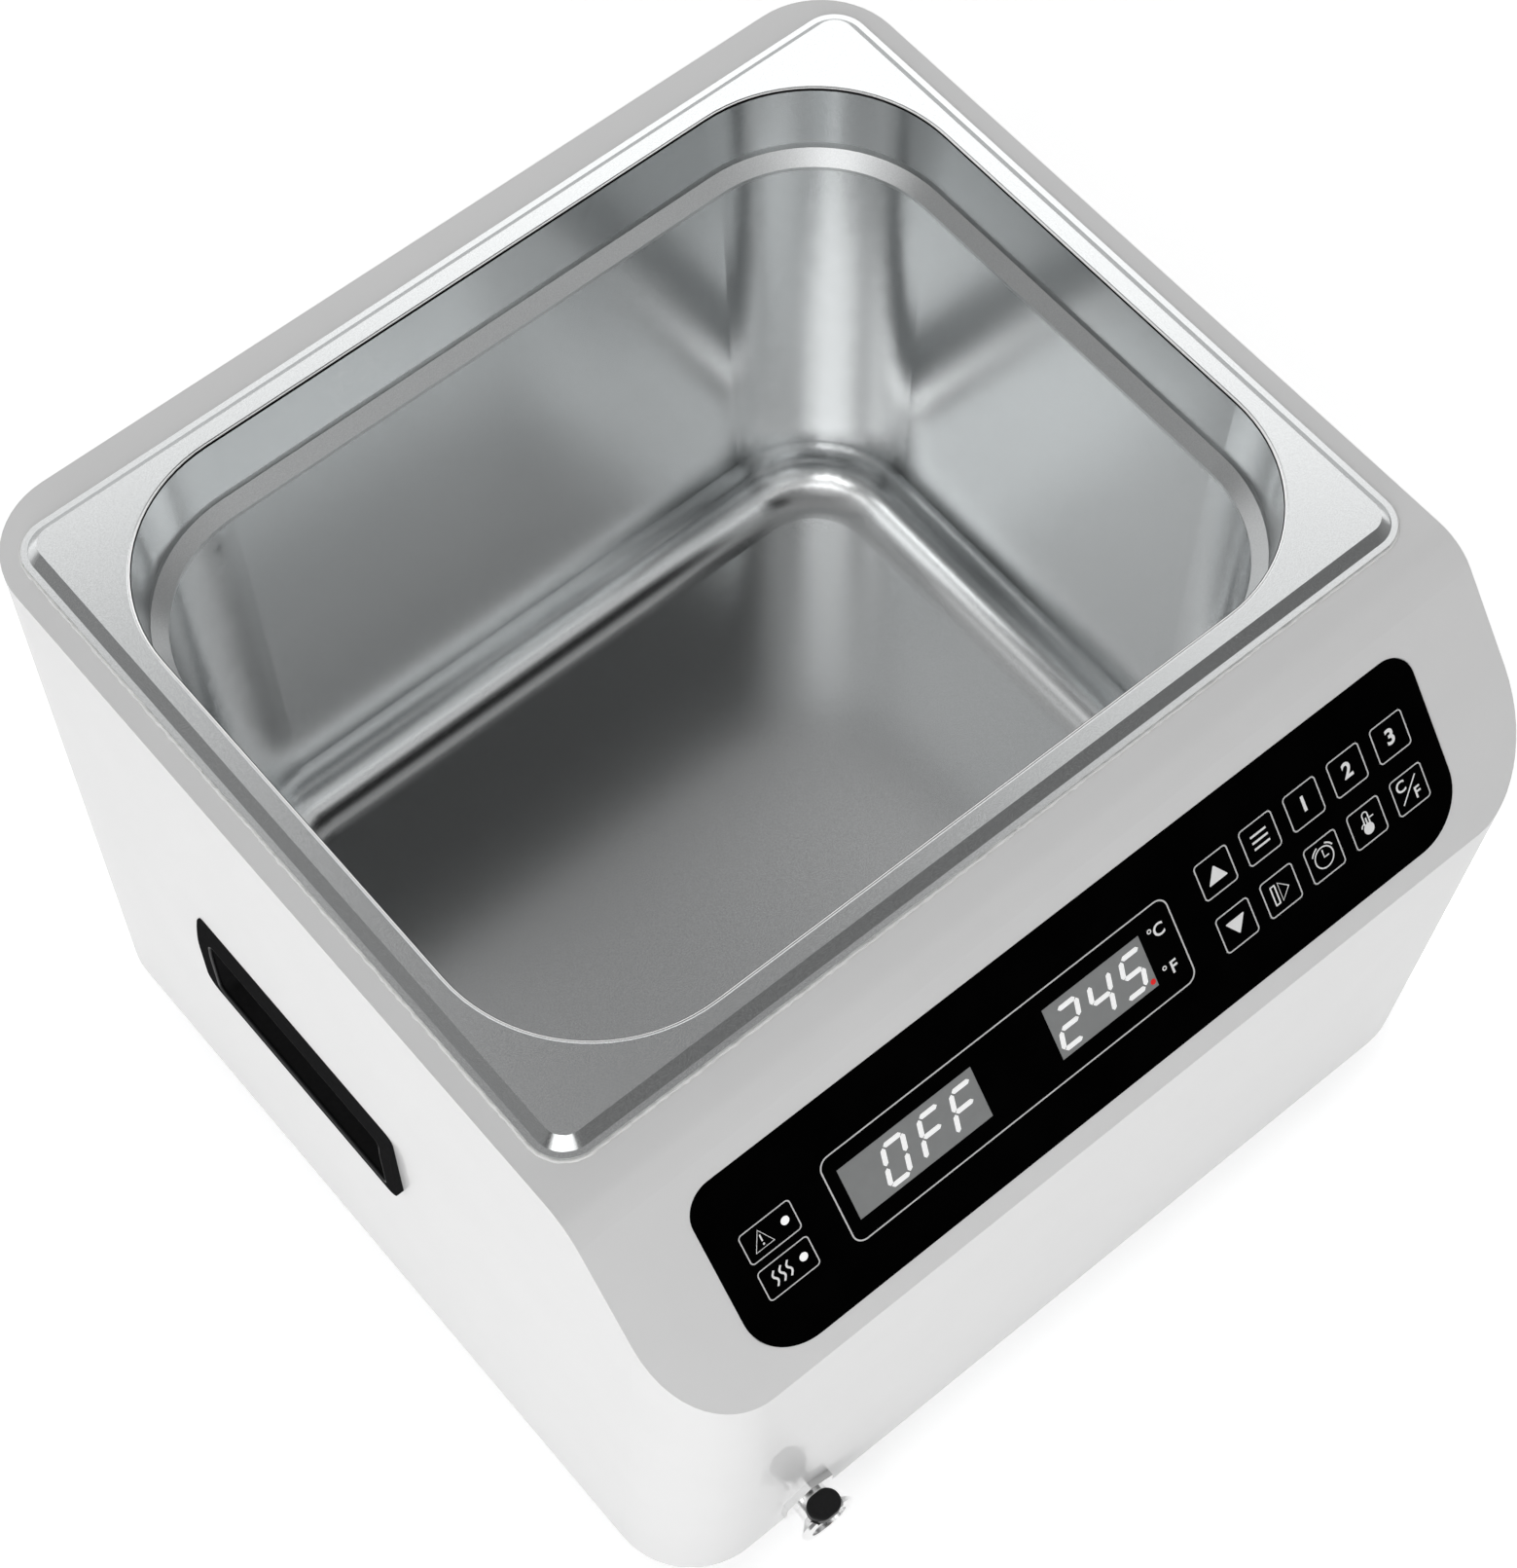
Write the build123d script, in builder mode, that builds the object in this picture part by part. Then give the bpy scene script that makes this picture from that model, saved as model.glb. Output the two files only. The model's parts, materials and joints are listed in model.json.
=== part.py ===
from build123d import *
import os
from math import cos, radians, sin, tan

# Laboratory water bath: a stainless gastronorm pan hung in a white casing.
# X runs to the right, Y to the rear, Z up. Z = 0 is the bench under the feet,
# X = 0 is the middle of the casing and Y = 0 is halfway from front lip to rear.
# Every length is in millimetres and every angle in degrees.

# Casing
deck_margin_side = 7.5
deck_margin_depth = 12.5
floor_space = 53.0
slope_length = 90.5
slope_angle = 54.4
front_lean = 5.0
corner_radius = 29.0
crease_radius = 18.0
wall = 2.5
foot_height = 12.0
plate_thickness = 1.5
clearance = 0.3
overrun = 12.0

# Gastronorm 1/2 pan, 200 deep
rim_width = 325.0
rim_depth = 265.0
rim_shelf = 11.5
pan_radius = 54.0
tank_depth = 200.0
sheet = 1.0
rim_radius = 12.0
rim_rise = 5.0
lip_width = 1.95
bevel = 3.4
bevel_angle = 45.0
gasket_thickness = 0.6
step_inset = 2.2
ledge_inset = 7.0
foot_inset = 12.0
step_drop = 27.0
ledge_drop = 31.0
foot_drop = 180.0
floor_radius = 20.0

# Control panel on the slope, in its own X and Y from its middle
panel_margin = 31.3
panel_height = 65.5
panel_top_radius = 10.0
panel_bottom_radius = 19.0
panel_from_crease = 49.6
film_thickness = 1.2
film_recess = 0.9
key_size = 13.2
key_gap = 0.3
key_radius = 1.5
key_pitch_x = 17.86
key_pitch_y = 20.0
keys_from_edge = 86.8
key_upper_y = 9.4
key_travel = 0.4
left_window_from_edge = 69.55
window_spacing = 71.05
left_window_width = 50.1
right_window_width = 37.8
window_height = 19.0
window_y = -0.6
lamp_from_edge = 24.5
lamp_upper_y = 6.3
lamp_lower_y = -7.7
lamp_radius = 1.4

# Hand grips in the two sides
grip_length = 101.5
grip_height = 43.0
grip_drop = 107.0
grip_proud = 2.5
grip_roll = 20.0
grip_depth = 19.0

# Drain cock in the front wall
cock_from_side = 51.7
cock_height = 16.1
cock_reach = 12.5
cock_disc_radius = 10.2
cock_neck_radius = 6.3
cock_thread_radius = 8.0
cock_bore_radius = 3.0
cock_nut_radius = 11.0
cock_nut_thickness = 2.5
knob_offset = 8.8
knob_length = 12.0
knob_width = 9.2
knob_height = 4.0

# Rear fittings
inlet_from_side = 74.0
switch_from_inlet = 58.0
rear_fitting_height = 22.0
inlet_flange = 3.0
drawer_lip = 1.0

# Sizes and places that follow from the sizes above
pan_width = rim_width - 2 * rim_shelf
pan_depth = rim_depth - 2 * rim_shelf
body_width = rim_width + 2 * deck_margin_side
body_height = tank_depth - rim_rise + floor_space
deck_half_depth = rim_depth / 2 + deck_margin_depth
panel_width = body_width - 2 * panel_margin
rear_proud = inlet_flange + drawer_lip
slope_run = slope_length * cos(radians(slope_angle))
slope_fall = slope_length * sin(radians(slope_angle))
pan_y = (slope_run - rear_proud) / 2
rear_y = pan_y + deck_half_depth
crease_y = pan_y - deck_half_depth
lip_y = crease_y - slope_run
base_z = foot_height
plate_top = base_z + plate_thickness
deck_z = base_z + body_height
lip_z = deck_z - slope_fall
lean = tan(radians(front_lean))
toe_y = lip_y + (lip_z - base_z) * lean
rim_top = deck_z + rim_rise
tank_floor = rim_top - tank_depth
tank_base = tank_floor - sheet
side_x = body_width / 2
key_first_x = panel_width / 2 - keys_from_edge
left_window_x = left_window_from_edge - panel_width / 2
right_window_x = left_window_x + window_spacing
lamp_x = lamp_from_edge - panel_width / 2
cock_x = cock_from_side - side_x
inlet_x = side_x - inlet_from_side
switch_x = inlet_x - switch_from_inlet

slope_out = Vector(0, -sin(radians(slope_angle)), cos(radians(slope_angle)))
panel_centre = Vector(
    0,
    crease_y - panel_from_crease * cos(radians(slope_angle)),
    deck_z - panel_from_crease * sin(radians(slope_angle)),
)
panel_plane = Plane(origin=panel_centre, x_dir=(1, 0, 0), z_dir=slope_out)
panel_top = film_thickness - film_recess

front_out = Vector(0, -cos(radians(front_lean)), -sin(radians(front_lean)))
cock_z = base_z + cock_height
cock_origin = Vector(cock_x, lip_y + (lip_z - cock_z) * lean, cock_z)
cock_plane = Plane(origin=cock_origin, x_dir=(1, 0, 0), z_dir=front_out)
fitting_z = base_z + rear_fitting_height
inlet_plane = Plane(origin=(inlet_x, rear_y, fitting_z), x_dir=(-1, 0, 0), z_dir=(0, 1, 0))
switch_plane = Plane(origin=(switch_x, rear_y, fitting_z), x_dir=(-1, 0, 0), z_dir=(0, 1, 0))

key_places = [
    (key_first_x + column * key_pitch_x, key_upper_y - row * key_pitch_y)
    for row in range(2)
    for column in range(5)
]
window_places = [(left_window_x, left_window_width), (right_window_x, right_window_width)]
lamp_places = [(lamp_x, lamp_upper_y), (lamp_x, lamp_lower_y)]

os.makedirs("parts", exist_ok=True)


def casing_form(inset, drop):
    # The casing's outer form, or with an inset the form of its cavity, carried down by the drop
    with BuildPart() as form:
        with BuildSketch(Plane.YZ) as side:
            with BuildLine():
                Polyline(
                    (rear_y, base_z - drop - inset),
                    (rear_y, deck_z),
                    (crease_y, deck_z),
                    (lip_y, lip_z),
                    (toe_y + (drop + inset) * lean, base_z - drop - inset),
                    close=True,
                )
            make_face()
            crease = side.vertices().sort_by_distance(Vector(crease_y, deck_z))[0]
            fillet(crease, crease_radius)
            if inset > 0:
                offset(amount=-inset, kind=Kind.INTERSECTION)
        extrude(amount=side_x - inset, both=True)
        upright = form.edges().filter_by(Axis.Z)
        leaning = form.edges().filter_by(Axis((0, 0, 0), (0, -lean, 1)))
        fillet(upright + leaning, corner_radius - inset)
    return form.part


def pan_form(grow):
    # The space inside the pan, or with a growth the form that much larger all round
    taper = (foot_inset - ledge_inset) / (foot_drop - ledge_drop)
    full_drop = tank_depth + grow
    levels = [
        (0, 0),
        (step_drop, step_inset),
        (ledge_drop, ledge_inset),
        (full_drop, ledge_inset + (full_drop - ledge_drop) * taper),
    ]
    with BuildPart() as form:
        for drop, inset in levels:
            with BuildSketch(Plane.XY.offset(rim_top - drop)):
                with Locations((0, pan_y)):
                    RectangleRounded(
                        pan_width - 2 * (inset - grow),
                        pan_depth - 2 * (inset - grow),
                        pan_radius - inset + grow,
                    )
        loft(ruled=True)
        fillet(form.faces().sort_by(Axis.Z)[0].edges(), floor_radius + grow)
    return form.part


def wire_run(points, radius, bend):
    # A round wire or tube along straight stretches with rounded bends
    with BuildPart() as run:
        with BuildLine() as route:
            FilletPolyline(*points, radius=bend)
        with BuildSketch(Plane(origin=route.line @ 0, z_dir=route.line % 0)):
            Circle(radius)
        sweep()
    return run.part


# Casing: the deck, slope, front, sides and rear in one white shell, open below
deck_gap = 1.0
boss_radius = 5.0
boss_height = 24.0
boss_pilot = 1.7
boss_inset = 4.0
boss_front_share = 0.24
boss_rear_share = 0.88
board_boss_radius = 3.5
board_pilot = 1.25
board_standoff = 6.0
board_boss_x_share = 0.47
board_boss_y_share = 0.42
window_ledge = 1.5
lamp_gap = 0.3
stem_radius = 3.0
stem_gap = 0.75
stud_radius = 1.5
stud_offset = 4.2
stud_gap = 0.25
stud_x_share = 0.31
cock_hole_gap = 0.2
inlet_width = 28.0
inlet_height = 32.0
switch_width = 13.0
switch_height = 19.4
fitting_gap = 0.2
grip_body_inset = 3.0
grip_body_rise = 1.0

boss_x = side_x - wall - boss_inset
boss_ys = [
    toe_y + (rear_y - toe_y) * boss_front_share,
    pan_y,
    toe_y + (rear_y - toe_y) * boss_rear_share,
]
boss_places = [(sx * boss_x, y) for y in boss_ys for sx in (-1, 1)]
board_boss_places = [
    (sx * panel_width * board_boss_x_share, sy * panel_height * board_boss_y_share)
    for sx in (-1, 1)
    for sy in (-1, 1)
]
stud_places = [
    (sx * pan_width * stud_x_share, pan_y + sy * (pan_depth / 2 + sheet + stud_offset))
    for sx in (-1, 1)
    for sy in (-1, 1)
] + [(sx * (pan_width / 2 + sheet + stud_offset), pan_y) for sx in (-1, 1)]
grip_top = deck_z - grip_drop
grip_bottom = grip_top - grip_height
grip_hole_length = grip_length - 2 * grip_body_inset
grip_hole_height = grip_height - grip_body_inset - grip_body_rise
grip_hole_z = grip_bottom + grip_body_rise + grip_hole_height / 2

with BuildPart() as housing_shell:
    add(casing_form(0, 0))
    add(casing_form(wall, overrun), mode=Mode.SUBTRACT)
    # Screw posts for the base plate, joined to the side walls by a rib
    with BuildSketch(Plane.XY.offset(plate_top)):
        with Locations(boss_places):
            Circle(boss_radius)
        with Locations([(sx * (side_x - (wall + boss_inset) / 2), y) for y in boss_ys for sx in (-1, 1)]):
            Rectangle(boss_inset + wall / 2, 2 * boss_radius)
    extrude(amount=boss_height)
    with BuildSketch(Plane.XY.offset(plate_top)):
        with Locations(boss_places):
            Circle(boss_pilot)
    extrude(amount=boss_height - wall, mode=Mode.SUBTRACT)
    # Posts for the control board behind the slope
    with BuildSketch(panel_plane.offset(-wall)):
        with Locations(board_boss_places):
            Circle(board_boss_radius)
    extrude(amount=-board_standoff)
    with BuildSketch(panel_plane.offset(-wall)):
        with Locations(board_boss_places):
            Circle(board_pilot)
    extrude(amount=-board_standoff, mode=Mode.SUBTRACT)
    # Opening for the pan, and the holes for the studs under its rim
    with BuildSketch(Plane.XY.offset(deck_z)):
        with Locations((0, pan_y)):
            RectangleRounded(
                pan_width + 2 * (sheet + deck_gap),
                pan_depth + 2 * (sheet + deck_gap),
                pan_radius + sheet + deck_gap,
            )
        with Locations(stud_places):
            Circle(stud_radius + stud_gap)
    extrude(amount=-wall - overrun, mode=Mode.SUBTRACT)
    # Shallow seat for the panel film, then the windows, lamps and keys through it
    with BuildSketch(panel_plane) as film_seat:
        Rectangle(panel_width + 2 * fitting_gap, panel_height + 2 * fitting_gap)
        fillet(film_seat.vertices().group_by(Axis.Y)[-1], panel_top_radius + fitting_gap)
        fillet(film_seat.vertices().group_by(Axis.Y)[0], panel_bottom_radius + fitting_gap)
    extrude(amount=-film_recess, mode=Mode.SUBTRACT)
    with BuildSketch(panel_plane):
        for x, width in window_places:
            with Locations((x, window_y)):
                Rectangle(width - 2 * window_ledge, window_height - 2 * window_ledge)
        with Locations(lamp_places):
            Circle(lamp_radius + lamp_gap)
        with Locations(key_places):
            Circle(stem_radius + stem_gap)
    extrude(amount=-wall - overrun, mode=Mode.SUBTRACT)
    # Hand grips, drain cock, mains inlet and switch
    with BuildSketch(Plane.YZ):
        with Locations((pan_y, grip_hole_z)):
            Rectangle(grip_hole_length, grip_hole_height)
    extrude(amount=side_x + overrun, both=True, mode=Mode.SUBTRACT)
    with BuildSketch(cock_plane):
        Circle(cock_thread_radius + cock_hole_gap)
    extrude(amount=-wall - overrun, mode=Mode.SUBTRACT)
    with BuildSketch(inlet_plane):
        Rectangle(inlet_width + 2 * fitting_gap, inlet_height + 2 * fitting_gap)
    with BuildSketch(switch_plane):
        Rectangle(switch_width + 2 * fitting_gap, switch_height + 2 * fitting_gap)
    extrude(amount=-wall - overrun, mode=Mode.SUBTRACT)
    # Holes for the two screws beside the inlet
    inlet_screw_x = 20.0
    inlet_screw_radius = 1.5
    screw_gap = 0.2
    with BuildSketch(inlet_plane):
        with Locations([(-inlet_screw_x, 0), (inlet_screw_x, 0)]):
            Circle(inlet_screw_radius + screw_gap)
    extrude(amount=-wall - overrun, mode=Mode.SUBTRACT)
housing_shell.part.label = "housing_shell"
export_step(housing_shell.part, "parts/housing_shell.step")


# Base plate: the folded sheet that closes the casing below, with vents, bushes and board posts
foot_inset_x = 35.0
foot_inset_y = 35.0
bush_radius = 4.5
bush_height = 6.0
foot_screw_radius = 2.0
base_screw_radius = 1.5
vent_length = 44.0
vent_width = 4.0
vent_pitch_x = 56.0
vent_pitch_y = 12.0
vent_from_rear = 99.0
power_board_from_side = 140.0
power_board_from_toe = 9.0
power_board_width = 160.0
power_board_depth = 54.0
board_thickness = 1.6
post_radius = 3.0
post_height = 6.0
post_inset = 4.0
post_pilot = 1.25
earth_from_side = 30.0
earth_from_rear = 109.0
earth_radius = 2.0
earth_height = 12.0

vent_y = rear_y - vent_from_rear
power_board_x = side_x - power_board_from_side
power_board_y = toe_y + power_board_from_toe + power_board_depth / 2
earth_x = side_x - earth_from_side
earth_y = rear_y - earth_from_rear
foot_places = [
    (sx * (side_x - foot_inset_x), y)
    for y in (toe_y + foot_inset_y, rear_y - foot_inset_y)
    for sx in (-1, 1)
]
post_places = [
    (power_board_x + sx * (power_board_width / 2 - post_inset),
     power_board_y + sy * (power_board_depth / 2 - post_inset))
    for sx in (-1, 1)
    for sy in (-1, 1)
]

with BuildPart() as base_plate:
    add(casing_form(wall + clearance, 0))
    with BuildSketch(Plane.XY.offset(base_z)):
        Rectangle(2 * body_width, 2 * body_width)
    extrude(amount=plate_thickness, mode=Mode.INTERSECT)
    with BuildSketch(Plane.XY.offset(plate_top)):
        with Locations(foot_places):
            Circle(bush_radius)
    extrude(amount=bush_height)
    with BuildSketch(Plane.XY.offset(plate_top)):
        with Locations(post_places):
            Circle(post_radius)
    extrude(amount=post_height)
    with BuildSketch(Plane.XY.offset(plate_top)):
        with Locations((earth_x, earth_y)):
            Circle(earth_radius)
    extrude(amount=earth_height)
    with BuildSketch(Plane.XY.offset(plate_top + bush_height)):
        with Locations(foot_places):
            Circle(foot_screw_radius + screw_gap)
        with Locations(boss_places):
            Circle(base_screw_radius + screw_gap)
        with Locations(post_places):
            Circle(post_pilot)
        with Locations((0, vent_y)):
            with GridLocations(vent_pitch_x, vent_pitch_y, 3, 5):
                SlotOverall(vent_length, vent_width)
    extrude(amount=-bush_height - plate_thickness - overrun, mode=Mode.SUBTRACT)
base_plate.part.label = "base_plate"
export_step(base_plate.part, "parts/base_plate.step")

# Six pan-head screws that hold the base plate to the casing's posts
base_screw_length = 16.0
base_head_radius = 3.2
base_head_height = 2.0
with BuildPart() as base_screws:
    with BuildSketch(Plane.XY.offset(base_z)):
        with Locations(boss_places):
            Circle(base_screw_radius)
    extrude(amount=base_screw_length)
    with BuildSketch(Plane.XY.offset(base_z)):
        with Locations(boss_places):
            Circle(base_head_radius)
    extrude(amount=-base_head_height)
base_screws.part.label = "base_screws"
export_step(base_screws.part, "parts/base_screws.step")

# Four rubber feet, narrowing downwards, each with a well for its screw
foot_radius = 15.0
foot_taper = 8.0
foot_well_radius = 5.0
foot_well_depth = 7.0
foot_edge = 1.2
with BuildPart() as feet:
    with BuildSketch(Plane.XY.offset(base_z)):
        with Locations(foot_places):
            Circle(foot_radius)
    extrude(amount=-foot_height, taper=foot_taper)
    fillet(feet.faces().filter_by(Axis.Z).group_by(Axis.Z)[0].edges(), foot_edge)
    with BuildSketch(Plane.XY):
        with Locations(foot_places):
            Circle(foot_well_radius)
    extrude(amount=foot_well_depth, mode=Mode.SUBTRACT)
    with BuildSketch(Plane.XY):
        with Locations(foot_places):
            Circle(foot_screw_radius + screw_gap)
    extrude(amount=foot_height, mode=Mode.SUBTRACT)
feet.part.label = "feet"
export_step(feet.part, "parts/feet.step")

# Four screws up through the feet into the plate's bushes
foot_head_radius = 3.8
foot_head_height = 2.6
with BuildPart() as foot_screws:
    with BuildSketch(Plane.XY.offset(foot_well_depth)):
        with Locations(foot_places):
            Circle(foot_screw_radius)
    extrude(amount=foot_height - foot_well_depth + plate_thickness + bush_height)
    with BuildSketch(Plane.XY.offset(foot_well_depth)):
        with Locations(foot_places):
            Circle(foot_head_radius)
    extrude(amount=-foot_head_height)
foot_screws.part.label = "foot_screws"
export_step(foot_screws.part, "parts/foot_screws.step")


# Tank: the pan with its pressed rim, studs under the rim and floor, and the drain hole
rim_edge = 0.8
stud_length = 18.0
heater_stud_radius = 2.0
heater_stud_length = 12.0
heater_stud_inset = 14.0
heater_depth = 140.0
heater_drain_gap = 4.5
drain_from_side = 51.0
drain_from_front = 49.0
drain_hole_radius = 7.2
drain_nut_radius = 11.5

drain_x = drain_from_side - pan_width / 2
drain_y = pan_y + drain_from_front - pan_depth / 2
heater_width = -2 * (drain_x + drain_nut_radius + heater_drain_gap)
lip_z_under = deck_z + gasket_thickness
lip_top = rim_top - bevel
fold = sheet * tan(radians(bevel_angle / 2))
heater_stud_places = [
    (sx * (heater_width / 2 - heater_stud_inset), pan_y + sy * (heater_depth / 2 - heater_stud_inset))
    for sx in (-1, 1)
    for sy in (-1, 1)
]

with BuildPart() as tank:
    with BuildSketch(Plane.XY.offset(lip_z_under)):
        with Locations((0, pan_y)):
            RectangleRounded(rim_width, rim_depth, rim_radius)
    extrude(amount=lip_top - lip_z_under)
    # The 45 degree bevel up to the flat top, solid first and then hollow from below
    for level, inset in [(lip_top, lip_width), (rim_top, lip_width + bevel)]:
        with BuildSketch(Plane.XY.offset(level)):
            with Locations((0, pan_y)):
                RectangleRounded(rim_width - 2 * inset, rim_depth - 2 * inset, rim_radius - inset)
    loft(ruled=True)
    for level, inset in [(lip_z_under, lip_width + fold), (rim_top - sheet, lip_width + fold + bevel)]:
        with BuildSketch(Plane.XY.offset(level)):
            with Locations((0, pan_y)):
                RectangleRounded(rim_width - 2 * inset, rim_depth - 2 * inset, rim_radius - inset)
    loft(ruled=True, mode=Mode.SUBTRACT)
    with BuildSketch(Plane.XY.offset(rim_top - sheet / 2)):
        with Locations(stud_places):
            Circle(stud_radius)
    extrude(amount=-stud_length)
    add(pan_form(sheet))
    add(pan_form(0), mode=Mode.SUBTRACT)
    fillet(tank.faces().sort_by(Axis.Z)[-1].inner_wires().edges(), rim_edge)
    with BuildSketch(Plane.XY.offset(tank_base)):
        with Locations(heater_stud_places):
            Circle(heater_stud_radius)
    extrude(amount=-heater_stud_length)
    with BuildSketch(Plane.XY.offset(tank_floor)):
        with Locations((drain_x, drain_y)):
            Circle(drain_hole_radius)
    extrude(amount=-overrun, mode=Mode.SUBTRACT)
tank.part.label = "tank"
export_step(tank.part, "parts/tank.step")

# Gasket between the rim's lip and the deck
gasket_width = 8.0
with BuildPart() as rim_gasket:
    with BuildSketch(Plane.XY.offset(deck_z)):
        with Locations((0, pan_y)):
            RectangleRounded(rim_width, rim_depth, rim_radius)
        with Locations((0, pan_y)):
            RectangleRounded(
                rim_width - 2 * gasket_width,
                rim_depth - 2 * gasket_width,
                pan_radius,
                mode=Mode.SUBTRACT,
            )
        with Locations(stud_places):
            Circle(stud_radius + stud_gap, mode=Mode.SUBTRACT)
    extrude(amount=gasket_thickness)
rim_gasket.part.label = "rim_gasket"
export_step(rim_gasket.part, "parts/rim_gasket.step")

# Six nuts that draw the rim down from below the deck
tank_nut_radius = 3.1
tank_nut_thickness = 2.6
snug = 0.05
with BuildPart() as tank_nuts:
    with BuildSketch(Plane.XY.offset(deck_z - wall)):
        with Locations(stud_places):
            RegularPolygon(tank_nut_radius, 6)
            Circle(stud_radius + snug, mode=Mode.SUBTRACT)
    extrude(amount=-tank_nut_thickness)
tank_nuts.part.label = "tank_nuts"
export_step(tank_nuts.part, "parts/tank_nuts.step")

# Insulating sleeve round the pan's wall
sleeve_thickness = 4.0
sleeve_low_share = 0.14
sleeve_high_share = 0.82
sleeve_low = tank_floor + tank_depth * sleeve_low_share
sleeve_high = tank_floor + tank_depth * sleeve_high_share
with BuildPart() as tank_insulation:
    add(pan_form(sheet + clearance + sleeve_thickness))
    with BuildSketch(Plane.XY.offset(sleeve_low)):
        Rectangle(2 * body_width, 2 * body_width)
    extrude(amount=sleeve_high - sleeve_low, mode=Mode.INTERSECT)
    add(pan_form(sheet + clearance), mode=Mode.SUBTRACT)
tank_insulation.part.label = "tank_insulation"
export_step(tank_insulation.part, "parts/tank_insulation.step")


# Heater: a silicone pad held flat against the tank's floor by a plate, with felt below it
heater_radius = 12.0
heater_thickness = 3.0
clamp_thickness = 2.0
felt_thickness = 6.0
stud_hole_gap = 0.3
heater_nut_radius = 4.3
heater_nut_thickness = 3.0
felt_hole_gap = 1.2
cutout_can_radius = 8.0
cutout_flange_length = 27.0
cutout_flange_width = 11.0
cutout_flange_thickness = 1.0
cutout_can_height = 6.0
cutout_blade_width = 4.0
cutout_blade_gap = 6.0
cutout_blade_thickness = 0.8
cutout_blade_length = 5.0

heater_base = tank_base - heater_thickness
clamp_base = heater_base - clamp_thickness
felt_base = clamp_base - felt_thickness
with BuildPart() as heater_pad:
    with BuildSketch(Plane.XY.offset(tank_base)):
        with Locations((0, pan_y)):
            RectangleRounded(heater_width, heater_depth, heater_radius)
        with Locations(heater_stud_places):
            Circle(heater_stud_radius + stud_hole_gap, mode=Mode.SUBTRACT)
    extrude(amount=-heater_thickness)
heater_pad.part.label = "heater_pad"
export_step(heater_pad.part, "parts/heater_pad.step")

with BuildPart() as heater_clamp_plate:
    with BuildSketch(Plane.XY.offset(heater_base)):
        with Locations((0, pan_y)):
            RectangleRounded(heater_width, heater_depth, heater_radius)
        with Locations(heater_stud_places):
            Circle(heater_stud_radius + stud_hole_gap, mode=Mode.SUBTRACT)
    extrude(amount=-clamp_thickness)
heater_clamp_plate.part.label = "heater_clamp_plate"
export_step(heater_clamp_plate.part, "parts/heater_clamp_plate.step")

with BuildPart() as heater_nuts:
    with BuildSketch(Plane.XY.offset(clamp_base)):
        with Locations(heater_stud_places):
            RegularPolygon(heater_nut_radius, 6)
            Circle(heater_stud_radius + snug, mode=Mode.SUBTRACT)
    extrude(amount=-heater_nut_thickness)
heater_nuts.part.label = "heater_nuts"
export_step(heater_nuts.part, "parts/heater_nuts.step")

with BuildPart() as heater_insulation:
    with BuildSketch(Plane.XY.offset(clamp_base)):
        with Locations((0, pan_y)):
            RectangleRounded(heater_width, heater_depth, heater_radius)
        with Locations(heater_stud_places):
            Circle(heater_nut_radius + felt_hole_gap, mode=Mode.SUBTRACT)
        with Locations((0, pan_y)):
            Circle(cutout_flange_length / 2 + felt_hole_gap, mode=Mode.SUBTRACT)
    extrude(amount=-felt_thickness)
heater_insulation.part.label = "heater_insulation"
export_step(heater_insulation.part, "parts/heater_insulation.step")

# Thermal cut-out: a bimetal switch in a can under the clamp plate
with BuildPart() as thermal_cutout:
    with BuildSketch(Plane.XY.offset(clamp_base)):
        with Locations((0, pan_y)):
            SlotOverall(cutout_flange_length, cutout_flange_width)
    extrude(amount=-cutout_flange_thickness)
    with BuildSketch(Plane.XY.offset(clamp_base)):
        with Locations((0, pan_y)):
            Circle(cutout_can_radius)
    extrude(amount=-cutout_can_height)
    with BuildSketch(Plane.XY.offset(clamp_base - cutout_can_height)):
        with Locations([(sx * cutout_blade_gap / 2, pan_y) for sx in (-1, 1)]):
            Rectangle(cutout_blade_thickness, cutout_blade_width)
    extrude(amount=-cutout_blade_length)
thermal_cutout.part.label = "thermal_cutout"
export_step(thermal_cutout.part, "parts/thermal_cutout.step")

# Temperature probe: a steel rod in a foot that lies against the tank's floor
probe_x = 14.0
probe_from_heater = 10.0
probe_radius = 2.5
probe_length = 36.0
probe_foot_length = 12.0
probe_foot_width = 9.0
probe_y = pan_y - heater_depth / 2 - probe_from_heater
with BuildPart() as temperature_probe:
    with BuildSketch(Plane.YZ.offset(probe_x)):
        with Locations((probe_y, tank_base - probe_radius)):
            Circle(probe_radius)
    extrude(amount=probe_length)
    with BuildSketch(Plane.XY.offset(tank_base)):
        with Locations((probe_x + probe_length / 2, probe_y)):
            Rectangle(probe_foot_length, probe_foot_width)
    extrude(amount=-2 * probe_radius)
temperature_probe.part.label = "temperature_probe"
export_step(temperature_probe.part, "parts/temperature_probe.step")


# Drain: an elbow through the tank's floor, a hose to the cock and two clamps
drain_thread_radius = 7.0
drain_thread_length = 11.0
drain_flange_radius = 11.0
drain_flange_thickness = 1.5
drain_seal_thickness = 1.5
drain_nut_thickness = 4.0
barb_radius = 5.0
barb_bore = 3.2
elbow_fall = 20.0
elbow_reach = 27.0
elbow_bend = 7.0
hose_wall = 2.4
hose_overlap = 13.0
clamp_wall = 0.9
clamp_width = 7.0
clamp_ear_width = 6.0
clamp_ear_height = 5.0
clamp_set_back = 3.0
cock_tail = 16.0
cock_thread_length = 13.0

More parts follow.
